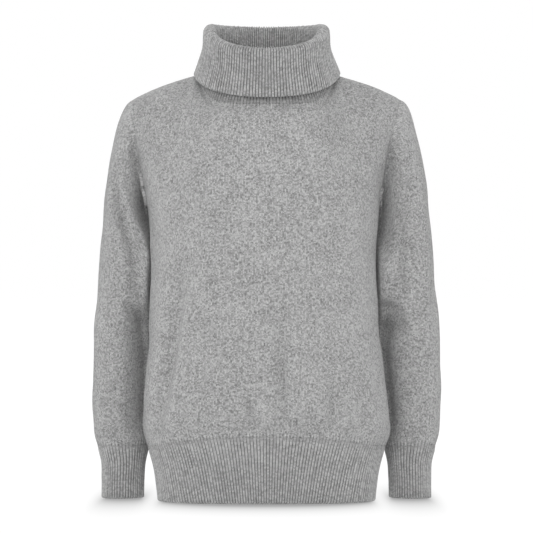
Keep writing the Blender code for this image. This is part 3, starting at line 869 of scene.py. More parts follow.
# ------------------------------------------------------------
# Finishes
# ------------------------------------------------------------
class NodeBoard:
    """A material's nodes, with short calls for the sums that a pattern needs."""

    def __init__(self, name: str) -> None:
        """Start a material with its shader.

        Args:
            name: Name of the material.
        """
        self.material = bpy.data.materials.new(name)
        self.material.use_nodes = True
        self.tree = self.material.node_tree
        self.shader = self.tree.nodes["Principled BSDF"]

    def put(self, value: Socket | float | tuple, socket: Socket) -> None:
        """Link a socket to another one, or set its value.

        Args:
            value: The other socket or the value.
            socket: The socket.
        """
        if isinstance(value, bpy.types.NodeSocket):
            self.tree.links.new(value, socket)
        else:
            socket.default_value = value

    def math(self, operation: str, *values: Socket | float) -> Socket:
        """Work out one sum.

        Args:
            operation: Name of the sum.
            values: What goes into it.

        Returns:
            Its result.
        """
        node = self.tree.nodes.new("ShaderNodeMath")
        node.operation = operation
        for value, socket in zip(values, node.inputs):
            self.put(value, socket)
        return node.outputs[0]

    def total(self, *values: Socket | float) -> Socket:
        """Add several values up.

        Args:
            values: The values.

        Returns:
            Their sum.
        """
        result = values[0]
        for value in values[1:]:
            result = self.math("ADD", result, value)
        return result

    def product(self, *values: Socket | float) -> Socket:
        """Multiply several values.

        Args:
            values: The values.

        Returns:
            Their product.
        """
        result = values[0]
        for value in values[1:]:
            result = self.math("MULTIPLY", result, value)
        return result

    def map_axes(self, name: str) -> tuple[Socket, Socket]:
        """Read one of the piece's UV maps.

        Args:
            name: Name of the map.

        Returns:
            Both coordinates.
        """
        place = self.tree.nodes.new("ShaderNodeUVMap")
        place.uv_map = name
        split = self.tree.nodes.new("ShaderNodeSeparateXYZ")
        self.put(place.outputs["UV"], split.inputs[0])
        return split.outputs["X"], split.outputs["Y"]

    def off_middle(self, counted: Socket) -> Socket:
        """Return 0 midway between two whole numbers and 1 at each of them."""
        off = self.math("SUBTRACT", self.math("FRACT", counted), 0.5)
        return self.product(self.math("ABSOLUTE", off), 2.0)

    def dome(self, share: Socket) -> Socket:
        """Return 1 in the middle of a share from 0 to 1 and 0 at both ends: 1 - (2 s - 1)^2."""
        off = self.math("SUBTRACT", self.product(share, 2.0), 1.0)
        return self.math("SUBTRACT", 1.0, self.product(off, off))

    def noise(self, place: Socket, scale: float, detail: float, rough: float = 0.5) -> Socket:
        """Add smooth noise about 0, mostly within a quarter either way.

        Args:
            place: Where it is read.
            scale: How many waves of it go to a metre.
            detail: How many finer waves are added.
            rough: How strong each of them is against the one before.

        Returns:
            The noise.
        """
        node = self.tree.nodes.new("ShaderNodeTexNoise")
        for name, value in (("Vector", place), ("Scale", scale), ("Detail", detail), ("Roughness", rough)):
            self.put(value, node.inputs[name])
        return self.math("SUBTRACT", node.outputs[0], 0.5)


OVER_MEAN = 1.6            # one over the mean height of the stitches, so that the painted shade is 1 on average


@dataclass(frozen=True)
class Knit:
    """A finish: heather wool yarn in one kind of knitting.

    A stitch is a V of two legs. The pattern counts wales across and courses up on the piece's own
    UV map, which is in metres. Shade in its grooves and troughs is painted into its colour.
    """

    name: str
    lightness: float           # mean reflectance, which differs between finishes as painted light and shade
    wale: float                # metres from one wale, or one rib, to the next
    course: float              # metres from one course to the next
    groove: float              # how much painted shade darkens the cloth between wales and lightens the crowns
    speckle: float             # how much one stitch's yarn differs from the next
    fleck: float = 1.30        # dark and light fibres about as wide as a stitch
    fibre: float = 0.65        # and finer ones
    cloud: float = 0.30        # slow change of the blend over the cloth
    relief: float = 0.0007     # height of a stitch's legs
    wander: float = 0.9        # how far stitches stray, in wales
    sheen: float = 0.30
    wale_stray: float = 60.0       # waves to a metre of the noise that wales stray by
    course_stray: float = 47.0     # and courses
    climb: float = 0.9             # how many courses a leg climbs from its inner end to its outer end
    loop_relief: float = 0.55      # how much of a stitch's height changes along its course
    fleck_scale: float = 330.0     # flecks to a metre
    fibre_scale: float = 1100.0    # fibres to a metre
    cloud_scale: float = 24.0      # clouds to a metre
    fuzz: float = 0.6              # height of loose fibres against that of a stitch
    fuzz_scale: float = 1400.0     # loose fibres to a metre
    relief_strength: float = 0.7
    roughness: float = 0.92
    gloss: float = 0.18
    sheen_roughness: float = 0.45
    hem_pitch: float = 0.0     # metres between ribs that run out into the cloth from its lower edge
    neck_pitch: float = 0.0    # and from its neckline
    tail_reach: float = 0.016  # how far they run from the lower edge
    shortest_tail: float = 0.4     # of that
    longest_tail: float = 1.6
    neck_reach: float = 0.009  # and from the neckline
    tail_painted_shade: float = 0.62   # how much darker painted shade makes the cloth between them than on them
    rib_start: float = 0.42    # share of its full painted groove shade that a rib has at its seam
    seam_painted_shade: float = 0.10     # how much darker painted shade makes the shallow ribs beside a seam, for the shade their grooves lack
    seam_fade: float = 0.008   # how far from its seam a rib's painted shade reaches its full strength
    tint: tuple[float, float, float] = (1.0, 1.0, 0.998)

    def material(self) -> bpy.types.Material:
        """Lay the finish out as nodes.

        A stitch stands up as the dome of the way across its wale, times one that grows with the dome
        of the way up its course. Shade is painted into the colour: darker where the cloth lies deep, lighter
        on the crowns.

        Returns:
            The material.
        """
        board = NodeBoard(self.name)
        place = board.tree.nodes.new("ShaderNodeTexCoord").outputs["Object"]
        across, up = board.map_axes(KNIT_MAP)
        wales = self.counted(board, across, self.wale, board.noise(place, self.wale_stray, detail=1.0))
        courses = self.counted(board, up, self.course, board.noise(place, self.course_stray, detail=1.0))
        off = board.off_middle(wales)
        climbed = board.math("SUBTRACT", courses, board.product(off, self.climb))
        loop = board.product(board.dome(board.math("FRACT", climbed)), self.loop_relief)
        stitch = board.product(board.dome(off), board.total(1.0 - self.loop_relief, loop))
        ridge = board.math("SUBTRACT", 1.0, board.product(off, off))
        height = board.total(board.product(stitch, 0.5), board.product(ridge, 0.5))
        below, above = board.map_axes(SEAM_MAP)
        if self.hem_pitch:
            tails = self.tails(board, across, below, self.hem_pitch)
            if self.neck_pitch:
                near_neck = board.product(above, self.tail_reach / self.neck_reach)
                tails = board.total(tails, self.tails(board, across, near_neck, self.neck_pitch))
            # painted shade: darker where the stitches lie deep and lighter on their crowns
            shade = board.total(1.0 - self.groove, board.product(height, self.groove * OVER_MEAN))
            # painted shade in the troughs of the ribs that run out into the cloth
            after_tail_shade = board.math("SUBTRACT", 1.0, board.product(tails, self.tail_painted_shade))
            shade = board.product(shade, after_tail_shade)
            stitch = board.math("SUBTRACT", stitch, tails)
        else:
            shade = self.painted_rib_shade(board, height, board.math("MINIMUM", below, above))
        yarn = self.yarn_shade(board, wales, climbed, place)
        self.set_colour(board, board.product(yarn, shade, self.lightness))
        self.set_surface(board, stitch, board.noise(place, self.fuzz_scale, detail=2.0))
        return board.material

    def counted(self, board: NodeBoard, length: Socket, pitch: float, stray: Socket) -> Socket:
        """Return a length counted in stitches of this pitch that stray a little."""
        return board.total(board.product(length, 1.0 / pitch), board.product(stray, self.wander))

    def painted_rib_shade(self, board: NodeBoard, height: Socket, off_seam: Socket) -> Socket:
        """Paint shade on the ribs: dark in the grooves and light on the crowns, weaker beside a seam,
        where the whole rib gets a painted shade for the shade its shallow grooves lack.

        Args:
            board: The material's nodes.
            height: How high the stitches stand, from 0 to 1.
            off_seam: Metres from the nearest seam.

        Returns:
            How much light the painted shade leaves, 1 on average away from the seams.
        """
        near = self.ramp(board, off_seam, self.seam_fade)
        full = board.total(self.rib_start, board.product(near, 1.0 - self.rib_start))
        deep = board.math("SUBTRACT", 1.0, board.product(height, OVER_MEAN))
        painted_groove_dark = board.product(deep, full, self.groove)
        # painted shade on the whole rib beside a seam, standing in for the shade its shallow grooves lack
        after_seam_shade = board.total(1.0 - self.seam_painted_shade, board.product(near, self.seam_painted_shade))
        return board.math("SUBTRACT", after_seam_shade, painted_groove_dark)

    def ramp(self, board: NodeBoard, length: Socket, reach: float) -> Socket:
        """Make a length a share.

        Args:
            board: The material's nodes.
            length: Metres from a seam.
            reach: Where the share becomes 1.

        Returns:
            The soft step from 0 at the seam to 1.
        """
        node = board.tree.nodes.new("ShaderNodeMapRange")
        node.interpolation_type = "SMOOTHSTEP"
        board.put(length, node.inputs["Value"])
        node.inputs["From Max"].default_value = reach
        return node.outputs[0]

    def tails(self, board: NodeBoard, across: Socket, length: Socket, pitch: float) -> Socket:
        """Lay out the troughs between ribs that run out into the cloth, for their relief and their painted
        shade.

        At the seam, the square of the distance from a crown less a third, its mean. A trough's number
        draws how far it runs.

        Args:
            board: The material's nodes.
            across: Metres across the piece.
            length: Metres from the seam.
            pitch: Metres from one rib to the next.

        Returns:
            How deep the cloth lies in the troughs, below 0 on the crowns.
        """
        counted = board.product(across, 1.0 / pitch)
        off = board.off_middle(counted)
        drawn = board.tree.nodes.new("ShaderNodeTexWhiteNoise")
        drawn.noise_dimensions = "1D"
        board.put(board.math("ROUND", counted), drawn.inputs["W"])
        spread = self.longest_tail - self.shortest_tail
        share = board.total(board.product(drawn.outputs["Value"], spread), self.shortest_tail)
        run = self.ramp(board, board.math("DIVIDE", length, share), self.tail_reach)
        trough = board.math("SUBTRACT", board.product(off, off), 1.0 / 3.0)
        return board.product(trough, board.math("SUBTRACT", 1.0, run))

    def yarn_shade(self, board: NodeBoard, wales: Socket, courses: Socket, place: Socket) -> Socket:
        """Shade the yarn.

        Every stitch has its own shade from its wale and course, then come flecks of fibre a little
        wider than a stitch, finer fibres, and slow clouds over the cloth.

        Args:
            board: The material's nodes.
            wales: Wales counted across.
            courses: Courses counted up.
            place: Where the noise is read.

        Returns:
            How light the yarn is, about 1.
        """
        cell = board.tree.nodes.new("ShaderNodeCombineXYZ")
        board.put(board.math("FLOOR", wales), cell.inputs[0])
        board.put(board.math("FLOOR", courses), cell.inputs[1])
        single = board.tree.nodes.new("ShaderNodeTexWhiteNoise")
        single.noise_dimensions = "2D"
        board.put(cell.outputs[0], single.inputs["Vector"])
        lone = board.product(board.math("SUBTRACT", single.outputs["Value"], 0.5), self.speckle)
        fleck = board.product(board.noise(place, self.fleck_scale, detail=2.0, rough=0.6), self.fleck)
        fibre = board.product(board.noise(place, self.fibre_scale, detail=2.0, rough=0.7), self.fibre)
        cloud = board.product(board.noise(place, self.cloud_scale, detail=3.0), self.cloud)
        return board.total(1.0, lone, fleck, fibre, cloud)

    def set_colour(self, board: NodeBoard, grey: Socket) -> None:
        """Put the grey, a little warm, on the shader.

        Args:
            board: The material's nodes.
            grey: The reflectance.
        """
        colour = board.tree.nodes.new("ShaderNodeCombineColor")
        for share, socket in zip(self.tint, colour.inputs):
            board.put(board.product(grey, share), socket)
        board.put(colour.outputs[0], board.shader.inputs["Base Color"])

    def set_surface(self, board: NodeBoard, stitch: Socket, fuzz: Socket) -> None:
        """Put roughness, sheen and the stitches' relief on the shader.

        Args:
            board: The material's nodes.
            stitch: How high the stitches stand, from 0 to 1.
            fuzz: Noise of the loose fibres.
        """
        bump = board.tree.nodes.new("ShaderNodeBump")
        board.put(board.total(stitch, board.product(fuzz, self.fuzz)), bump.inputs["Height"])
        bump.inputs["Distance"].default_value = self.relief
        bump.inputs["Strength"].default_value = self.relief_strength
        board.put(bump.outputs[0], board.shader.inputs["Normal"])
        for name, value in (
            ("Roughness", self.roughness), ("Specular IOR Level", self.gloss), ("Sheen Weight", self.sheen),
            ("Sheen Roughness", self.sheen_roughness), ("Sheen Tint", (1.0, 1.0, 1.0, 1.0)),
        ):
            board.put(value, board.shader.inputs[name])


# One yarn throughout: the different lightness of these finishes is painted light and shade, the sleeves a
# little lighter than the body, the ribs of hem and cuffs darker, and the collar's ribs darkest, with their
# grooves painted darker too.
BODY_JERSEY = Knit(
    "heather_body_jersey", lightness=0.303, wale=0.0023, course=0.0017, groove=0.30, speckle=0.68,
    hem_pitch=PANEL_KNIT / HEM_RIBS, neck_pitch=PANEL_KNIT / NECK_TAILS,
)
SLEEVE_JERSEY = Knit(
    "heather_sleeve_jersey", lightness=0.310, wale=0.0023, course=0.0017, groove=0.30, speckle=0.68,
    hem_pitch=SLEEVE_GIRTH / CUFF_RIBS,
)
RIB = Knit(
    "heather_rib", lightness=0.276, wale=0.0047, course=0.0022, groove=0.80, speckle=0.40,
    fleck=0.80, fibre=0.40, wander=0.16,
)
COLLAR_RIB = Knit(
    "heather_collar_rib", lightness=0.257, wale=0.0046, course=0.0022, groove=0.92, speckle=0.45,
    fleck=0.95, fibre=0.475, wander=0.14,
)


# ------------------------------------------------------------
# Body: front, back and the two halves of the hem
# ------------------------------------------------------------
@dataclass(frozen=True)
class Body:
    """Front and back of the body, their armholes, shoulders and neckline, and the ribbed hem."""

    sections: tuple[TrunkSection, ...] = (
        #            height   half    middle    side    front    back   front   back rise
        TrunkSection(-0.5736, 0.1792, 0.0000, -0.0240, 0.1120, 0.1010, 0.0206, 0.0140),
        TrunkSection(-0.5645, 0.1826, 0.0000, -0.0240, 0.1165, 0.1040, 0.0190, 0.0130),
        TrunkSection(-0.5470, 0.1862, -0.0005, -0.0240, 0.1200, 0.1065, 0.0150, 0.0100),
        TrunkSection(-0.5190, 0.1854, -0.0010, -0.0230, 0.1215, 0.1070, 0.0080, 0.0050),
        TrunkSection(-0.4730, 0.1803, -0.0018, -0.0210, 0.1225, 0.1060, 0.0030, 0.0020),
        TrunkSection(-0.4200, 0.1750, -0.0030, -0.0180, 0.1245, 0.1050, 0.0000, 0.0000),
        TrunkSection(-0.3600, 0.1717, -0.0040, -0.0140, 0.1275, 0.1040, 0.0000, 0.0000),
        TrunkSection(-0.3000, 0.1702, -0.0045, -0.0100, 0.1305, 0.1030, 0.0000, 0.0000),
        TrunkSection(-0.2450, 0.1725, -0.0043, -0.0060, 0.1335, 0.1020, 0.0000, 0.0000),
        TrunkSection(-0.2070, 0.1770, -0.0048, -0.0020, 0.1355, 0.1000, 0.0000, 0.0000),
    )
    hem_sections: tuple[TrunkSection, ...] = (
        TrunkSection(-0.6540, 0.1638, 0.0000, -0.0245, 0.1068, 0.0998, 0.0010, 0.0000),
        TrunkSection(-0.6330, 0.1660, 0.0000, -0.0245, 0.1074, 0.0999, 0.0050, 0.0030),
        TrunkSection(-0.6020, 0.1708, 0.0000, -0.0245, 0.1088, 0.1003, 0.0120, 0.0080),
        TrunkSection(-0.5736, 0.1792, 0.0000, -0.0240, 0.1120, 0.1010, 0.0206, 0.0140),
    )
    rows: int = 92                 # rows from the hem seam to the underarm
    hem_rows: int = 26
    hem_lean: float = 0.030        # how far the ribs lean in towards the free edge, of the half's width
    roundness: float = 2.3         # exponent of the body's sections
    neck_half_width: float = 0.1010
    neck_side: float = 0.0050      # y of the shoulder seam
    neck_top: float = -0.0075      # height of the shoulder neck point
    neck_front_depth: float = 0.1000
    neck_front_drop: float = 0.0548
    neck_back_depth: float = 0.0570
    neck_back_drop: float = 0.0060
    neck_curve: float = 1.4        # how softly the neckline leaves the shoulder neck point
    neck_roundness: float = 2.55
    shoulder_tip: tuple[float, float, float] = (0.2030, 0.0050, -0.0450)
    shoulder_crown: float = 0.0028     # how far the middle of a shoulder seam stands above a line
    armhole_front_depth: float = 0.0520
    armhole_back_depth: float = 0.0590
    underarm_point: float = 0.6    # 0 for a round underarm, 1 for a pointed one
    armhole_flare: dict[Side, float] = field(    # how the armhole leans outward with height
        default_factory=lambda: {Side.RIGHT: 0.80, Side.LEFT: 1.45},
    )
    neck_fullness: float = 1.5     # exponent of the arch from chest to neckline
    shoulder_fullness: float = 2.2
    armhole_reach: float = 0.55    # part of a half panel that bends to the armhole
    armhole_bend: float = 1.5
    ribbing: Ribbing = Ribbing(ribs=HEM_RIBS, parts=2)
    unevenness: float = 0.0010     # height of the longest wave of uneven cloth
    front_creases: tuple[Crease, ...] = (
        Crease((
            (0.024, -0.366), (0.023, -0.426), (0.025, -0.486), (0.031, -0.534), (0.046, -0.568),
        ), -0.0100, 0.0082, 0.2),
        Crease(((-0.029, -0.496), (-0.024, -0.514), (-0.016, -0.542)), -0.0090, 0.0050),
        Crease((
            (-0.128, -0.285), (-0.135, -0.354), (-0.143, -0.410), (-0.151, -0.455),
            (-0.158, -0.492), (-0.163, -0.516), (-0.166, -0.539), (-0.168, -0.600),
        ), -0.0165, 0.0120, 0.1),
        Crease(((0.099, -0.470), (0.100, -0.512), (0.094, -0.562)), -0.0090, 0.0080),
        Crease(((-0.088, -0.455), (-0.096, -0.510), (-0.094, -0.555)), -0.0036, 0.0110),
        Crease(((0.076, -0.516), (0.082, -0.556)), -0.0034, 0.0060),
        Crease(((0.043, -0.514), (0.047, -0.557)), -0.0034, 0.0055),
        Crease(((0.135, -0.470), (0.142, -0.525), (0.140, -0.565)), -0.0050, 0.0110),
        Crease(((-0.058, -0.515), (-0.055, -0.556)), -0.0032, 0.0065),
        Crease(((0.006, -0.532), (0.003, -0.555)), -0.0026, 0.0055),
        Crease(((-0.122, -0.500), (-0.128, -0.560)), -0.0034, 0.0080),
        Crease(((-0.150, -0.130), (-0.130, -0.180), (-0.115, -0.250)), -0.0026, 0.0180),
        Crease(((0.152, -0.120), (0.135, -0.175), (0.128, -0.240)), -0.0030, 0.0180),
    )
    back_creases: tuple[Crease, ...] = (
        Crease(((-0.030, -0.370), (-0.033, -0.470), (-0.026, -0.553)), -0.0064, 0.0090, 0.2),
        Crease(((0.075, -0.400), (0.082, -0.490), (0.080, -0.558)), -0.0060, 0.0100),
        Crease(((0.020, -0.480), (0.017, -0.554)), -0.0042, 0.0070),
        Crease(((-0.100, -0.430), (-0.108, -0.560)), -0.0054, 0.0100),
        Crease(((0.134, -0.460), (0.140, -0.564)), -0.0050, 0.0100),
        Crease(((-0.145, -0.480), (-0.152, -0.564)), -0.0048, 0.0090),
        Crease(((-0.140, -0.120), (-0.118, -0.190), (-0.110, -0.280)), -0.0040, 0.0170),
        Crease(((0.142, -0.110), (0.124, -0.180), (0.112, -0.260)), -0.0038, 0.0170),
    )

    def levels(self, sections: tuple[TrunkSection, ...], rows: int) -> Array:
        """Divide the body into smooth sections at even heights.

        Args:
            sections: The given sections, from the lowest up.
            rows: Into how many rows the height is divided.

        Returns:
            rows + 1 sections.
        """
        table = np.array(sections)
        heights = np.linspace(table[0, 0], table[-1, 0], rows + 1)
        return through(table[:, 0], table, heights)

    def half_rings(self, levels: Array, face: Face) -> Array:
        """Lay half rings around the body, with points at even distances.

        On each, x goes with the rounded sine of an angle from side to side, y with its rounded
        cosine, and the height rises with the plain cosine squared.

        Args:
            levels: The sections.
            face: Which half.

        Returns:
            One row of points to a section.
        """
        angle = np.linspace(-math.pi / 2, math.pi / 2, CURVE_POINTS)
        sine, cosine = rounded(angle, self.roundness)
        height, half, middle, side, front, back, front_rise, back_rise = levels.T[..., None]
        depth = front if face is Face.FRONT else back
        rise = front_rise if face is Face.FRONT else back_rise
        x = middle - face.value * half * sine
        y = side + face.value * depth * cosine
        z = height + rise * np.cos(angle) ** 2
        return np.stack([evenly(curve, PANEL_COLUMNS) for curve in np.stack([x, y, z], axis=-1)])

    def half_neckline(self, face: Face) -> Array:
        """Lay out one panel's neckline.

        A rounded half oval in plan. Its fall goes with the sine of the depth reached, to a power.

        Args:
            face: Which panel.

        Returns:
            Its points in the panel's order of columns.
        """
        angle = np.linspace(-math.pi / 2, math.pi / 2, CURVE_POINTS)
        sine, cosine = rounded(angle, self.neck_roundness)
        front = face is Face.FRONT
        depth = self.neck_front_depth if front else self.neck_back_depth
        drop = self.neck_front_drop if front else self.neck_back_drop
        fall = np.sin(math.pi * cosine.clip(0.0, 1.0) / 2.0) ** self.neck_curve
        x = -face.value * self.neck_half_width * sine
        y = self.neck_side + face.value * depth * cosine
        return evenly(np.stack([x, y, self.neck_top - drop * fall], axis=1), NECK_COLUMNS)

    def shoulder_seam(self, sign: float) -> Array:
        """Lay out a shoulder seam: a line with a slight sine arch.

        Args:
            sign: Sign of x on its side.

        Returns:
            Its points from the tip to the neck point.
        """
        share = np.linspace(0.0, 1.0, SHOULDER_COLUMNS + 1)[:, None]
        tip = np.array(self.shoulder_tip)
        neck = np.array([self.neck_half_width, self.neck_side, self.neck_top])
        line = tip + (neck - tip) * share
        line[:, 2] += self.shoulder_crown * np.sin(math.pi * share[:, 0])
        return line * (sign, 1.0, 1.0)

    def armhole_edge(self, sign: float, face: Face) -> Array:
        """Lay out half an armhole.

        Height and depth follow a climb between a rounded and a pointed start, and the half bulges
        to its own face by the sine of the share of the way.

        Args:
            sign: Sign of x on its side.
            face: Which half.

        Returns:
            Its points from the underarm to the shoulder tip.
        """
        underarm = self.sections[-1]
        share = np.linspace(0.0, 1.0, ARMHOLE_ROWS + 1)
        low = np.array([underarm.middle + sign * underarm.half_width, underarm.side, underarm.height])
        tip = np.array(self.shoulder_tip) * (sign, 1.0, 1.0)
        round_climb = (1.0 - np.cos(math.pi * share)) / 2.0
        climb = round_climb + self.underarm_point * (np.sin(math.pi * share / 2.0) - round_climb)
        depth = self.armhole_front_depth if face is Face.FRONT else self.armhole_back_depth
        x = low[0] + (tip[0] - low[0]) * climb ** self.armhole_flare[Side(sign)]
        y = low[1] + (tip[1] - low[1]) * climb + face.value * depth * np.sin(math.pi * share)
        return np.stack([x, y, low[2] + (tip[2] - low[2]) * climb], axis=1)

    def upper_rows(self, face: Face, base: Array) -> Array:
        """Lay out a panel's rows above the underarm level.

        Each column arches from the underarm level to the shoulder seam or neckline, and near the
        sides it is pulled over so that the last column runs along the armhole.

        Args:
            face: Which panel.
            base: Its row at the underarm level.

        Returns:
            The rows above it.
        """
        first, last = self.shoulder_seam(face.value), self.shoulder_seam(-face.value)
        top = np.concatenate([first[:-1], self.half_neckline(face), last[-2::-1]])
        place = np.abs(np.linspace(-1.0, 1.0, PANEL_COLUMNS + 1))
        from_neck = (place * PANEL_COLUMNS - NECK_COLUMNS) / (PANEL_COLUMNS - NECK_COLUMNS)
        fullness = self.neck_fullness + (self.shoulder_fullness - self.neck_fullness) * smooth(from_neck)
        pull = ((place - 1.0 + self.armhole_reach) / self.armhole_reach).clip(0.0) ** self.armhole_bend
        edges = [self.armhole_edge(face.value, face)[1:], self.armhole_edge(-face.value, face)[1:]]
        share = np.linspace(0.0, 1.0, len(edges[0]) + 1)[1:, None]
        along, upward = arch(share, fullness[None, :])
        rows = base + (top - base) * np.stack([along, along, upward], axis=-1)
        half = PANEL_COLUMNS // 2
        shift = np.zeros_like(rows)
        shift[:, :half] = (edges[0] - rows[:, 0])[:, None]
        shift[:, half:] = (edges[1] - rows[:, -1])[:, None]
        rows = rows + shift * pull[None, :, None]
        rows[:, 0], rows[:, -1], rows[-1] = edges[0], edges[1], top
        return rows

    def panel(self, face: Face) -> Piece:
        """Lay out the front or back panel.

        Args:
            face: Which one.

        Returns:
            The panel.
        """
        lower = self.half_rings(self.levels(self.sections, self.rows), face)
        points = np.concatenate([lower, self.upper_rows(face, lower[-1])])
        points = eased(points, self.rows, reach=9, margin=12)
        front = face is Face.FRONT
        return Piece(
            "front_panel_cloth" if front else "back_panel_cloth", points, False, PANEL_KNIT, BODY_JERSEY,
            flat=(0.500, 0.640) if front else (0.480, 0.620), area=0.280 if front else 0.265, held="hung",
            ribs_above=(SHOULDER_COLUMNS, SHOULDER_COLUMNS + NECK_COLUMNS),
        )

    def hem(self, face: Face, seam: Array) -> Piece:
        """Lay out half of the ribbed hem.

        Downward its columns lean in towards the middle, by the sine of a full turn times the share
        of the way across.

        Args:
            face: Which half.
            seam: Its panel's lowest row.

        Returns:
            The half.
        """
        points = self.half_rings(self.levels(self.hem_sections, self.hem_rows), face)
        share = np.linspace(0.0, 1.0, PANEL_COLUMNS + 1)
        for row in range(self.hem_rows):
            fallen = 1.0 - row / self.hem_rows
            drawn = share + self.hem_lean * fallen * np.sin(2.0 * math.pi * share)
            points[row] = np.stack([np.interp(drawn, share, axis) for axis in points[row].T], axis=1)
        points[-1] = seam
        name = "hem_rib_front_cloth" if face is Face.FRONT else "hem_rib_back_cloth"
        return Piece(
            name, points, False, self.ribbing.ribs * RIB.wale, RIB,
            flat=(0.450, 0.095), area=None, held="hung", lower=Edge.FREE, ribbing=self.ribbing,
            ribs_above=(0, self.ribbing.parts * PANEL_COLUMNS),
        )

    def crease(self, panel: Piece) -> None:
        """Lay its creases and slight unevenness into a panel.

        Args:
            panel: The panel.
        """
        front = panel.name.startswith("front")
        across, height = panel.points[..., 0], panel.points[..., 2]
        rise = waves(across, height, self.unevenness, phase=0.4 if front else 2.2)
        for crease in self.front_creases if front else self.back_creases:
            rise = rise + crease_height(across, height, 1.0, crease)
        panel.raise_by(rise)


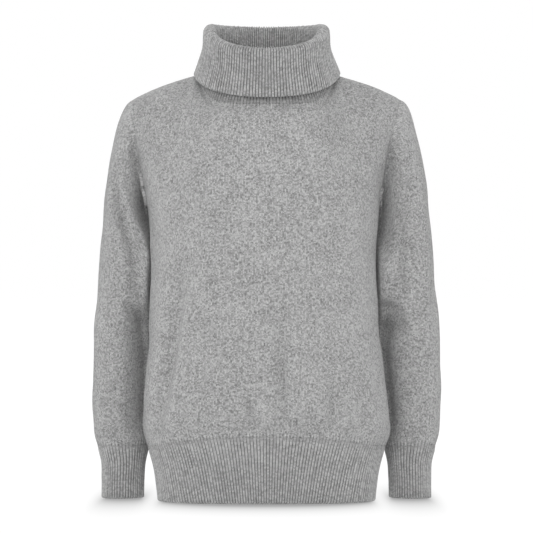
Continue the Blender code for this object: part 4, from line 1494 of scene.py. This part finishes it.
# ------------------------------------------------------------
# Sleeves and cuffs
# ------------------------------------------------------------
@dataclass(frozen=True)
class Sleeves:
    """Both sleeves, set in at the body's armholes, and their ribbed cuffs."""

    body: Body
    sections: tuple[SleeveSection, ...] = (
        #             height   outline  half    slant   middle   half depth
        SleeveSection(-0.5736, 0.2602, 0.0412, 0.0060, 0.0380, 0.0430),
        SleeveSection(-0.5620, 0.2624, 0.0434, 0.0070, 0.0400, 0.0465),
        SleeveSection(-0.5410, 0.2638, 0.0440, 0.0090, 0.0420, 0.0495),
        SleeveSection(-0.4960, 0.2646, 0.0450, 0.0120, 0.0425, 0.0520),
        SleeveSection(-0.4500, 0.2643, 0.0460, 0.0130, 0.0425, 0.0540),
        SleeveSection(-0.4000, 0.2629, 0.0465, 0.0140, 0.0420, 0.0560),
        SleeveSection(-0.3450, 0.2598, 0.0465, 0.0060, 0.0400, 0.0575),
        SleeveSection(-0.2900, 0.2560, 0.0455, 0.0060, 0.0370, 0.0585),
        SleeveSection(-0.2370, 0.2513, 0.0395, 0.0150, 0.0260, 0.0600),
    )
    cuff_sections: tuple[SleeveSection, ...] = (
        SleeveSection(-0.6540, 0.2514, 0.0316, 0.0030, 0.0370, 0.0359),
        SleeveSection(-0.6250, 0.2512, 0.0318, 0.0030, 0.0370, 0.0364),
        SleeveSection(-0.5950, 0.2528, 0.0340, 0.0030, 0.0370, 0.0384),
        SleeveSection(-0.5736, 0.2602, 0.0412, 0.0060, 0.0380, 0.0430),
    )
    rows: int = 90
    cap_rows: int = 30             # rows from the first level ring to the armhole
    cuff_rows: int = 24
    roundness: float = 2.1
    cap_fullness: float = 1.6
    unevenness: float = 0.0008     # height of the longest wave of uneven cloth
    valleys: tuple[Valley, ...] = (
        Valley((
            Press(-0.1998, -0.0880, 0.000), Press(-0.1975, -0.1170, 0.012), Press(-0.1953, -0.1400, 0.016),
            Press(-0.1915, -0.1670, 0.017), Press(-0.1890, -0.1900, 0.020), Press(-0.1852, -0.2130, 0.022),
            Press(-0.1815, -0.2350, 0.014), Press(-0.1788, -0.2550, 0.000),
        ), Face.FRONT, 0.0045, 0.0085),
        Valley((
            Press(-0.1775, -0.2300, 0.000), Press(-0.1765, -0.2600, -0.018), Press(-0.1760, -0.2900, -0.022),
            Press(-0.1760, -0.3200, -0.020), Press(-0.1765, -0.3450, -0.014), Press(-0.1775, -0.3750, 0.000),
        ), Face.FRONT, 0.0035, 0.0130, 1.0),
        Valley((
            Press(-0.1920, -0.3600, 0.000), Press(-0.1915, -0.3900, 0.020), Press(-0.1870, -0.4250, 0.026),
            Press(-0.1870, -0.4700, 0.022), Press(-0.1890, -0.5200, 0.020), Press(-0.1880, -0.5700, 0.000),
        ), Face.FRONT, 0.0050, 0.0140, 0.5, True),
        Valley((
            Press(0.1890, -0.0880, 0.000), Press(0.1862, -0.1170, 0.014), Press(0.1830, -0.1400, 0.022),
            Press(0.1795, -0.1670, 0.024), Press(0.1770, -0.1900, 0.022), Press(0.1745, -0.2200, 0.018),
            Press(0.1710, -0.2600, 0.010), Press(0.1700, -0.2900, 0.000),
        ), Face.FRONT, 0.0032, 0.0110),
        Valley((
            Press(0.1720, -0.2550, 0.000), Press(0.1710, -0.2850, -0.014), Press(0.1710, -0.3150, -0.020),
            Press(0.1715, -0.3450, -0.018), Press(0.1740, -0.3750, 0.000),
        ), Face.FRONT, 0.0032, 0.0090, 1.0),
        Valley((
            Press(0.1850, -0.3500, 0.000), Press(0.1840, -0.3900, 0.020), Press(0.1810, -0.4300, 0.032),
            Press(0.1840, -0.4700, 0.034), Press(0.1880, -0.5100, 0.030), Press(0.1885, -0.5400, 0.024),
            Press(0.1870, -0.5750, 0.000),
        ), Face.FRONT, 0.0050, 0.0100, 0.5, True),
        Valley((
            Press(-0.1930, -0.0900, 0.000), Press(-0.1880, -0.1400, 0.011), Press(-0.1820, -0.1900, 0.016),
            Press(-0.1780, -0.2400, 0.012), Press(-0.1750, -0.2900, 0.000),
        ), Face.BACK, 0.0070, 0.0130),
        Valley((
            Press(0.1940, -0.0850, 0.000), Press(0.1890, -0.1350, 0.012), Press(0.1830, -0.1900, 0.016),
            Press(0.1780, -0.2450, 0.013), Press(0.1750, -0.3000, 0.000),
        ), Face.BACK, 0.0070, 0.0130),
    )
    fit: dict[Side, tuple[tuple[float, float], ...]] = field(default_factory=lambda: {
        # height and how much further out the outer side hangs there
        Side.RIGHT: (
            (-0.57, 0.0005), (-0.45, 0.0), (-0.30, 0.0), (-0.24, -0.0020), (-0.16, -0.0030), (-0.07, 0.0),
        ),
        Side.LEFT: (
            (-0.57, 0.0020), (-0.45, 0.0025), (-0.36, 0.0), (-0.24, -0.0030), (-0.16, -0.0040), (-0.07, 0.0),
        ),
    })
    ribbing: Ribbing = Ribbing(ribs=CUFF_RIBS, parts=3)
    right_creases: tuple[Crease, ...] = (
        Crease((
            (42, -0.130), (77, -0.161), (103, -0.183), (121, -0.205), (138, -0.229), (143, -0.255),
            (147, -0.300),
        ), 0.0060, 0.0070, -0.2),
        Crease((
            (40, -0.148), (79, -0.184), (101, -0.207), (118, -0.230), (122, -0.252), (121, -0.280),
            (122, -0.345),
        ), -0.0095, 0.0105, 0.2),
        Crease(((136, -0.285), (139, -0.325), (148, -0.362)), 0.0045, 0.0095),
        Crease((
            (104, -0.352), (120, -0.362), (136, -0.371), (146, -0.381), (164, -0.402),
        ), -0.0100, 0.0080, 0.5),
        Crease(((70, -0.400), (100, -0.422), (125, -0.440)), 0.0040, 0.0130),
        Crease(((55, -0.548), (85, -0.553), (118, -0.549)), -0.0027, 0.0050),
        Crease(((20, -0.557), (60, -0.563), (95, -0.560)), -0.0020, 0.0040),
        Crease(((60, -0.500), (95, -0.512), (120, -0.514)), -0.0030, 0.0070),
        Crease(((10, -0.470), (16, -0.520), (24, -0.556)), -0.0026, 0.0090),
        Crease(((-55, -0.320), (-100, -0.360), (-145, -0.420)), -0.0100, 0.0150),
        Crease(((-40, -0.190), (-85, -0.235), (-125, -0.300)), -0.0075, 0.0140),
        Crease(((-40, -0.540), (-100, -0.552), (-150, -0.545)), -0.0030, 0.0060),
    )
    left_creases: tuple[Crease, ...] = (
        Crease(((50, -0.225), (42, -0.274), (47, -0.323), (58, -0.368), (56, -0.415)), 0.0042, 0.0070, 0.2),
        Crease(((22, -0.235), (20, -0.290), (26, -0.350), (32, -0.400)), -0.0040, 0.0110),
        Crease(((114, -0.240), (107, -0.285), (105, -0.323), (108, -0.356)), -0.0060, 0.0090),
        Crease(((127, -0.285), (130, -0.320), (134, -0.346)), 0.0045, 0.0100),
        Crease((
            (108, -0.362), (118, -0.364), (130, -0.362), (141, -0.358), (160, -0.355),
        ), -0.0080, 0.0080, 0.5),
        Crease(((112, -0.380), (125, -0.390), (142, -0.398), (160, -0.402)), -0.0120, 0.0130),
        Crease(((122, -0.190), (97, -0.181), (44, -0.170)), -0.0034, 0.0050),
        Crease(((112, -0.178), (85, -0.169), (35, -0.158)), 0.0022, 0.0050),
        Crease(((50, -0.552), (84, -0.556), (116, -0.552)), -0.0027, 0.0050),
        Crease(((62, -0.505), (96, -0.516), (124, -0.520)), -0.0028, 0.0070),
        Crease(((12, -0.440), (18, -0.500), (26, -0.555)), -0.0027, 0.0100),
        Crease(((-65, -0.310), (-105, -0.360), (-148, -0.425)), -0.0100, 0.0150),
        Crease(((-35, -0.200), (-80, -0.240), (-120, -0.300)), -0.0070, 0.0140),
        Crease(((-50, -0.546), (-105, -0.556), (-150, -0.550)), -0.0030, 0.0060),
    )

    def rings(self, sections: tuple[SleeveSection, ...], rows: int, side: Side) -> Array:
        """Lay level rings around a sleeve at even heights.

        Each is a superellipse whose x also shifts inward with the sine. The body leans a little to
        one side: the sleeve there is as much narrower, the other one wider.

        Args:
            sections: The given sections, from the lowest up.
            rows: Into how many rows the height is divided.
            side: Which sleeve.

        Returns:
            rows + 1 rings, each starting beside the body.
        """
        table = np.array(sections)
        heights = np.linspace(table[0, 0], table[-1, 0], rows + 1)
        height, outline, half, slant, middle, depth = through(table[:, 0], table, heights).T[..., None]
        trunk = np.array(self.body.sections)
        half = half - side.value * np.interp(height, trunk[:, 0], trunk[:, 2]) / 2.0
        start = math.pi if side is Side.LEFT else 0.0
        angle = start + np.linspace(0.0, 2.0 * math.pi, 2 * ARMHOLE_ROWS, endpoint=False)
        sine, cosine = rounded(angle, self.roundness)
        x = side.value * (outline - half - slant * sine) + np.sqrt(half**2 - slant**2) * cosine
        y = middle + depth * sine
        return np.stack([x, y, np.broadcast_to(height, x.shape)], axis=-1)

    def armhole_loop(self, side: Side) -> Array:
        """Join both halves of an armhole.

        Args:
            side: Which armhole.

        Returns:
            Its points from the underarm, round by the front on the left side.
        """
        order = (Face.FRONT, Face.BACK) if side is Side.LEFT else (Face.BACK, Face.FRONT)
        first, last = (self.body.armhole_edge(side.value, face) for face in order)
        return np.concatenate([first[:-1], last[:0:-1]])

    def sleeve(self, side: Side) -> Piece:
        """Lay out a sleeve, from the cuff seam up to the armhole.

        Above the level rings each column arches outward from the armhole, or runs straight down
        where it lies beside the body.

        Args:
            side: Which sleeve.

        Returns:
            The sleeve.
        """
        loop = self.armhole_loop(side)
        rings = self.rings(self.sections, self.rows, side)
        run = rings[-1] - loop
        share = np.linspace(1.0, 0.0, self.cap_rows + 1)[1:, None]
        down, outward = arch(np.broadcast_to(share, (self.cap_rows, len(loop))), self.cap_fullness)
        sideways = np.where(side.value * run[:, 0] > 0.0, outward, down)
        cap = loop + run * np.stack([sideways, outward, down], axis=-1)
        points = eased(np.concatenate([rings, cap]), self.rows, reach=10, margin=0)
        points[-1] = loop
        name = "left_sleeve_cloth" if side is Side.LEFT else "right_sleeve_cloth"
        return Piece(
            name, points, True, SLEEVE_GIRTH, SLEEVE_JERSEY, flat=(0.350, 0.560), area=0.165, held="hung",
        )

    def cuff(self, side: Side, seam: Array) -> Piece:
        """Lay out a ribbed cuff.

        Args:
            side: Which cuff.
            seam: Its sleeve's lowest row.

        Returns:
            The cuff.
        """
        points = self.rings(self.cuff_sections, self.cuff_rows, side)
        points[-1] = seam
        name = "left_cuff_cloth" if side is Side.LEFT else "right_cuff_cloth"
        return Piece(
            name, points, True, self.ribbing.ribs * RIB.wale, RIB,
            flat=(0.215, 0.085), area=None, held="stretched", lower=Edge.FREE, ribbing=self.ribbing,
            ribs_above=(0, self.ribbing.parts * len(seam)),
        )

    def crease(self, sleeve: Piece, side: Side) -> None:
        """Lay its creases and slight unevenness into a sleeve.

        The angle around it is that of the surface's own normal. Each crease is laid three times, a
        full turn apart, so that it also reaches over the line where the angle starts again.

        Args:
            sleeve: The sleeve.
            side: Which one it is.
        """
        outward = side.value * sleeve.normals[..., 0]
        angle = np.degrees(np.arctan2(-sleeve.normals[..., 1], outward))
        height = sleeve.points[..., 2]
        scale = SLEEVE_GIRTH / 360.0
        around = SLEEVE_GIRTH / (2.0 * math.pi)
        rise = waves(around * outward, height, self.unevenness, phase=1.0 + side.value)
        for crease in self.left_creases if side is Side.LEFT else self.right_creases:
            for turn in (-360.0, 0.0, 360.0):
                rise = rise + crease_height(angle + turn, height, scale, crease)
        heights, further = np.array(self.fit[side]).T
        rise = rise + np.interp(height, heights, further) * outward.clip(0.0) ** 2
        sleeve.raise_by(rise)


# ------------------------------------------------------------
# Collar
# ------------------------------------------------------------
@dataclass(frozen=True)
class Collar:
    """The ribbed collar: up from the neckline as the inner layer, rolled over, down as the flap."""

    body: Body
    roll_radius: float = 0.0062    # inside the roll
    roll_ring: CollarRing = CollarRing(0.0100, 0.0, 0.0858, -0.0075, 0.0780, 0.0785)
    roll_steps: int = 12
    flap_rings: tuple[CollarRing, ...] = (
        CollarRing(0.0355, 0.0015, 0.0938, -0.0095, 0.0872, 0.0852),
        CollarRing(0.0560, 0.0015, 0.1005, -0.0115, 0.0896, 0.0897),
        CollarRing(0.0755, 0.0005, 0.1078, -0.0130, 0.0917, 0.0947),
    )
    roll_front_top: float = 0.0268
    roll_back_top: float = 0.0690
    roll_tilt: float = 0.0393      # rise of the roll from the middle of the front to the sides
    roll_turn: float = 0.0120      # how softly the tilted front meets the level back
    unevenness: float = 0.0007     # height of the longest wave of uneven cloth
    even_part: float = 0.6         # length that stays even from the neckline, against all the rest
    roundness: float = 2.15
    band_rows: int = 14
    fold_rows: int = 38            # rows of the roll and the flap
    ribbing: Ribbing = Ribbing(ribs=140, parts=3, outer_rise=0.0018, inner_rise=0.0025, fade=0.0080)

    def roll_top(self, front_share: Array) -> Array:
        """Lay the top of the roll: the lower of a tilted and a level plane, softly joined.

        Args:
            front_share: 1 in the middle of the front, 0 at the sides, -1 in the middle of the back.

        Returns:
            Its height.
        """
        tilted = self.roll_front_top + self.roll_tilt * (1.0 - front_share)
        near = (self.roll_turn - np.abs(tilted - self.roll_back_top)).clip(0.0)
        return np.minimum(tilted, self.roll_back_top) - near**2 / (4.0 * self.roll_turn)

    def ring(self, ring: CollarRing) -> Array:
        """Lay one ring, with points at even distances.

        Each half is half a superellipse. Its height follows the roll less the ring's drop, and less
        the dip with the cosine squared.

        Args:
            ring: The ring's sizes.

        Returns:
            The points of the front half and then of the back half.
        """
        angle = np.linspace(-math.pi / 2, math.pi / 2, CURVE_POINTS)
        sine, cosine = rounded(angle, self.roundness)
        halves = []
        for face, depth in ((Face.FRONT, ring.front), (Face.BACK, ring.back)):
            x = -face.value * ring.half_width * sine
            y = ring.side + face.value * depth * cosine
            z = self.roll_top(-face.value * cosine) - ring.drop - ring.dip * np.cos(angle) ** 2
            halves.append(evenly(np.stack([x, y, z], axis=1), NECK_COLUMNS)[:-1])
        return np.concatenate(halves)

    def knots(self) -> Array:
        """Lay the rings that the collar passes.

        Returns:
            Those of the neckline, the half turn of the roll, and the flap.
        """
        rings = [np.concatenate([self.body.half_neckline(face)[:-1] for face in Face])]
        for turn in np.linspace(0.0, math.pi, self.roll_steps + 1):
            out = -self.roll_radius * math.cos(turn)
            roll = self.roll_ring
            rings.append(self.ring(CollarRing(
                roll.drop - self.roll_radius * math.sin(turn), roll.dip, roll.half_width + out,
                roll.side, roll.front + out, roll.back + out,
            )))
        rings += [self.ring(ring) for ring in self.flap_rings]
        return np.array(rings)

    def collar(self) -> Piece:
        """Lay out the collar, smooth from the neckline over the roll to the flap's edge.

        Returns:
            The collar.
        """
        knots = self.knots()
        steps = np.linalg.norm(np.diff(knots, axis=0), axis=2).mean(axis=1)
        travelled = np.concatenate(([0.0], np.cumsum(steps)))
        wanted = np.concatenate([
            np.linspace(0.0, travelled[1], self.band_rows + 1)[:-1],
            np.linspace(travelled[1], travelled[-1], self.fold_rows + 1),
        ])
        points = through(travelled, knots, wanted)
        points[0] = knots[0]
        return Piece(
            "collar_cloth", points, True, self.ribbing.ribs * COLLAR_RIB.wale, COLLAR_RIB,
            flat=(0.620, 0.190), area=0.1150, held="folded", upper=Edge.FREE, ribbing=self.ribbing,
        )

    def soften(self, collar: Piece) -> None:
        """Lay slight unevenness into the collar, most at the flap's edge.

        Args:
            collar: The collar.
        """
        share = smooth(np.linspace(-self.even_part, 1.0, len(collar.points)))[:, None]
        around = np.arctan2(collar.points[..., 1], collar.points[..., 0]) * self.roll_ring.half_width
        rise = waves(around, collar.points[..., 2], self.unevenness, phase=0.9) * share
        collar.points = collar.points - collar.normals * rise[..., None]


# ------------------------------------------------------------
# The whole garment
# ------------------------------------------------------------
@dataclass
class Garment:
    """The finished sweater: its sub-assemblies, its pieces and how they are shown."""

    body: Body = Body()
    gathers: tuple[Gathers, ...] = (    # over both halves of the hem and over both cuffs
        Gathers(0.015, 0.0016, 0.015, 0.7), Gathers(0.016, 0.0016, 0.015, 2.9),
        Gathers(0.013, 0.0015, 0.012, 1.6), Gathers(0.013, 0.0015, 0.012, 4.1),
    )
    pieces: list[Piece] = field(default_factory=list)

    def lay_out(self) -> None:
        """Lay out every piece, weld them, crease them, and weld them again."""
        sleeves, collar = Sleeves(self.body), Collar(self.body)
        for face in Face:
            panel = self.body.panel(face)
            self.pieces += [panel, self.body.hem(face, panel.points[0])]
        tubes = {side: sleeves.sleeve(side) for side in Side}
        for side, sleeve in tubes.items():
            self.pieces += [sleeve, sleeves.cuff(side, sleeve.points[0])]
        self.pieces.append(collar.collar())
        underarms = np.array([sleeves.armhole_loop(side)[0] for side in Side])
        ease_seams(self.pieces, underarms)
        weld(self.pieces, underarms)
        for panel in self.pieces[0], self.pieces[2]:
            self.body.crease(panel)
        for side, sleeve in tubes.items():
            sleeves.crease(sleeve, side)
        collar.soften(self.pieces[-1])
        weld(self.pieces, underarms)
        moves = [np.zeros_like(piece.points) for piece in self.pieces[:-1]]
        for number, piece in enumerate(self.pieces[:-1]):
            for valley in sleeves.valleys:
                if number >= BODY_PIECES or not valley.spares_body:
                    moves[number] += valley.shift(piece.points, piece.normals)
        for piece, move in zip(self.pieces, moves):
            piece.points = piece.points + move
        weld(self.pieces, underarms)
        for upper, lower, gathers in zip(self.pieces[0:-1:2], self.pieces[1::2], self.gathers):
            upper.gather(gathers, at_top=False)
            lower.gather(gathers, at_top=True)
        weld(self.pieces, underarms)

    def show(self) -> None:
        materials = {}
        for piece in self.pieces:
            item = add_object(piece.name, WallMaker(piece).mesh())
            if piece.finish.name not in materials:
                materials[piece.finish.name] = piece.finish.material()
            item.data.materials.append(materials[piece.finish.name])
            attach(item, "root")
            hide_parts(piece.name.removesuffix("_cloth"))
            LOG.info("%s: %d faces", piece.name, len(item.data.polygons))


# ------------------------------------------------------------
# Studio
# ------------------------------------------------------------
class Contact(NamedTuple):
    """An oval edge of the garment that stands just above the floor, with a shadow painted round it on the
    floor.
    """

    x: float
    y: float
    half_width: float
    half_depth: float
    reach: float         # how far its painted shadow reaches forward


class Lamp(NamedTuple):
    """One square soft light, turned to the middle of the garment."""

    name: str
    place: tuple[float, float, float]
    size: float
    power: float


@dataclass(frozen=True)
class Studio:
    """A pale floor that glows, with contact shadows painted into its glow, even light from all round and the
    camera.
    """

    floor_height: float = -0.6556
    floor_size: float = 60.0
    floor_glow: float = 1.05
    painted_shadow_edges: tuple[Contact, ...] = (
        Contact(0.0, -0.022, 0.158, 0.104, 0.090), Contact(-0.219, 0.037, 0.027, 0.034, 0.140),
        Contact(0.219, 0.037, 0.027, 0.034, 0.140),
    )
    painted_shadow_depth: float = 0.62      # how much darker the painted shadow makes the floor right beside the cloth
    painted_shadow_narrow: float = 14.0     # how much less far the painted shadow reaches sideways
    world_strength: float = 1.0
    lamps: tuple[Lamp, ...] = (
        Lamp("front_softbox", (-0.4, -4.4, 0.1), 2.4, 98.0),
        Lamp("top_softbox", (0.0, -2.4, 2.6), 1.2, 10.0),
    )
    camera_distance: float = 5.0
    camera_height: float = -0.3008
    seen_width: float = 0.8102     # metres across the picture at the origin
    sensor: float = 36.0

    def floor(self) -> None:
        """Add the floor."""
        half, height = self.floor_size / 2.0, self.floor_height
        corners = [(-half, -half, height), (half, -half, height), (half, half, height), (-half, half, height)]
        mesh = bpy.data.meshes.new("floor")
        mesh.from_pydata(corners, [], [(0, 1, 2, 3)])
        board = NodeBoard("pale_floor_with_painted_shadows")
        place = board.tree.nodes.new("ShaderNodeTexCoord").outputs["Object"]
        split = board.tree.nodes.new("ShaderNodeSeparateXYZ")
        board.put(place, split.inputs[0])
        x, y = split.outputs["X"], split.outputs["Y"]
        # the floor glows rather than being lit, and its contact shadows are painted into the glow
        glow_with_painted_shadows = board.product(*(self.paint_contact_shadow(board, x, y, contact) for contact in self.painted_shadow_edges))
        for name, value in (
            ("Emission Color", glow_with_painted_shadows), ("Emission Strength", self.floor_glow),
            ("Base Color", (0.0, 0.0, 0.0, 1.0)), ("Specular IOR Level", 0.0),
        ):
            board.put(value, board.shader.inputs[name])
        mesh.materials.append(board.material)
        add_object("floor", mesh)

    def paint_contact_shadow(self, board: NodeBoard, x: Socket, y: Socket, contact: Contact) -> Socket:
        """Paint on the floor the shadow that an edge above it would cast.

        1 less the painted shadow's depth times e to the power of minus the distance outside the oval
        over the reach. Sideways a distance counts several times.

        Args:
            board: The floor's nodes.
            x: Where it is read.
            y: The same.
            contact: The edge.

        Returns:
            The share of the floor's glow that the painted shadow leaves.
        """
        from_x = board.math("ABSOLUTE", board.math("SUBTRACT", x, contact.x))
        from_y = board.math("ABSOLUTE", board.math("SUBTRACT", y, contact.y))
        share = board.math("MINIMUM", board.product(from_x, 1.0 / contact.half_width), 1.0)
        bulge = board.math("SQRT", board.math("SUBTRACT", 1.0, board.product(share, share)))
        ahead = board.math("SUBTRACT", from_y, board.product(bulge, contact.half_depth))
        ahead = board.math("MAXIMUM", ahead, 0.0)
        beside = board.math("MAXIMUM", board.math("SUBTRACT", from_x, contact.half_width), 0.0)
        beside = board.product(beside, self.painted_shadow_narrow)
        away = board.math("SQRT", board.total(board.product(ahead, ahead), board.product(beside, beside)))
        faded = board.math("POWER", math.e, board.product(away, -1.0 / contact.reach))
        return board.math("SUBTRACT", 1.0, board.product(faded, self.painted_shadow_depth))

    def light(self) -> None:
        """Add even light from all round and the soft lights."""
        world = bpy.data.worlds.new("white_room")
        world.use_nodes = True
        background = world.node_tree.nodes["Background"]
        background.inputs["Color"].default_value = (1.0, 1.0, 1.0, 1.0)
        background.inputs["Strength"].default_value = self.world_strength
        bpy.context.scene.world = world
        for plan in self.lamps:
            lamp = bpy.data.lights.new(plan.name, "AREA")
            lamp.shape, lamp.size, lamp.energy = "SQUARE", plan.size, plan.power
            item = bpy.data.objects.new(plan.name, lamp)
            item.location = plan.place
            to_middle = Vector((0.0, 0.0, self.camera_height)) - Vector(plan.place)
            item.rotation_euler = to_middle.to_track_quat("-Z", "Y").to_euler()
            bpy.context.scene.collection.objects.link(item)
        bpy.context.scene.view_settings.view_transform = "Standard"

    def camera(self) -> None:
        """Add the camera, level and straight in front."""
        camera = bpy.data.cameras.new("camera")
        camera.sensor_width = self.sensor
        camera.lens = self.sensor * self.camera_distance / self.seen_width
        item = bpy.data.objects.new("camera", camera)
        item.location = (0.0, -self.camera_distance, self.camera_height)
        item.rotation_euler = (math.pi / 2.0, 0.0, 0.0)
        bpy.context.scene.collection.objects.link(item)
        bpy.context.scene.camera = item


def main() -> None:
    """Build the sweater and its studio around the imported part."""
    logging.basicConfig(level=logging.INFO, format="%(name)s: %(message)s")
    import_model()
    garment = Garment()
    garment.lay_out()
    garment.show()
    studio = Studio()
    studio.floor()
    studio.light()
    studio.camera()
    bpy.context.view_layer.update()


if __name__ == "__main__":
    main()
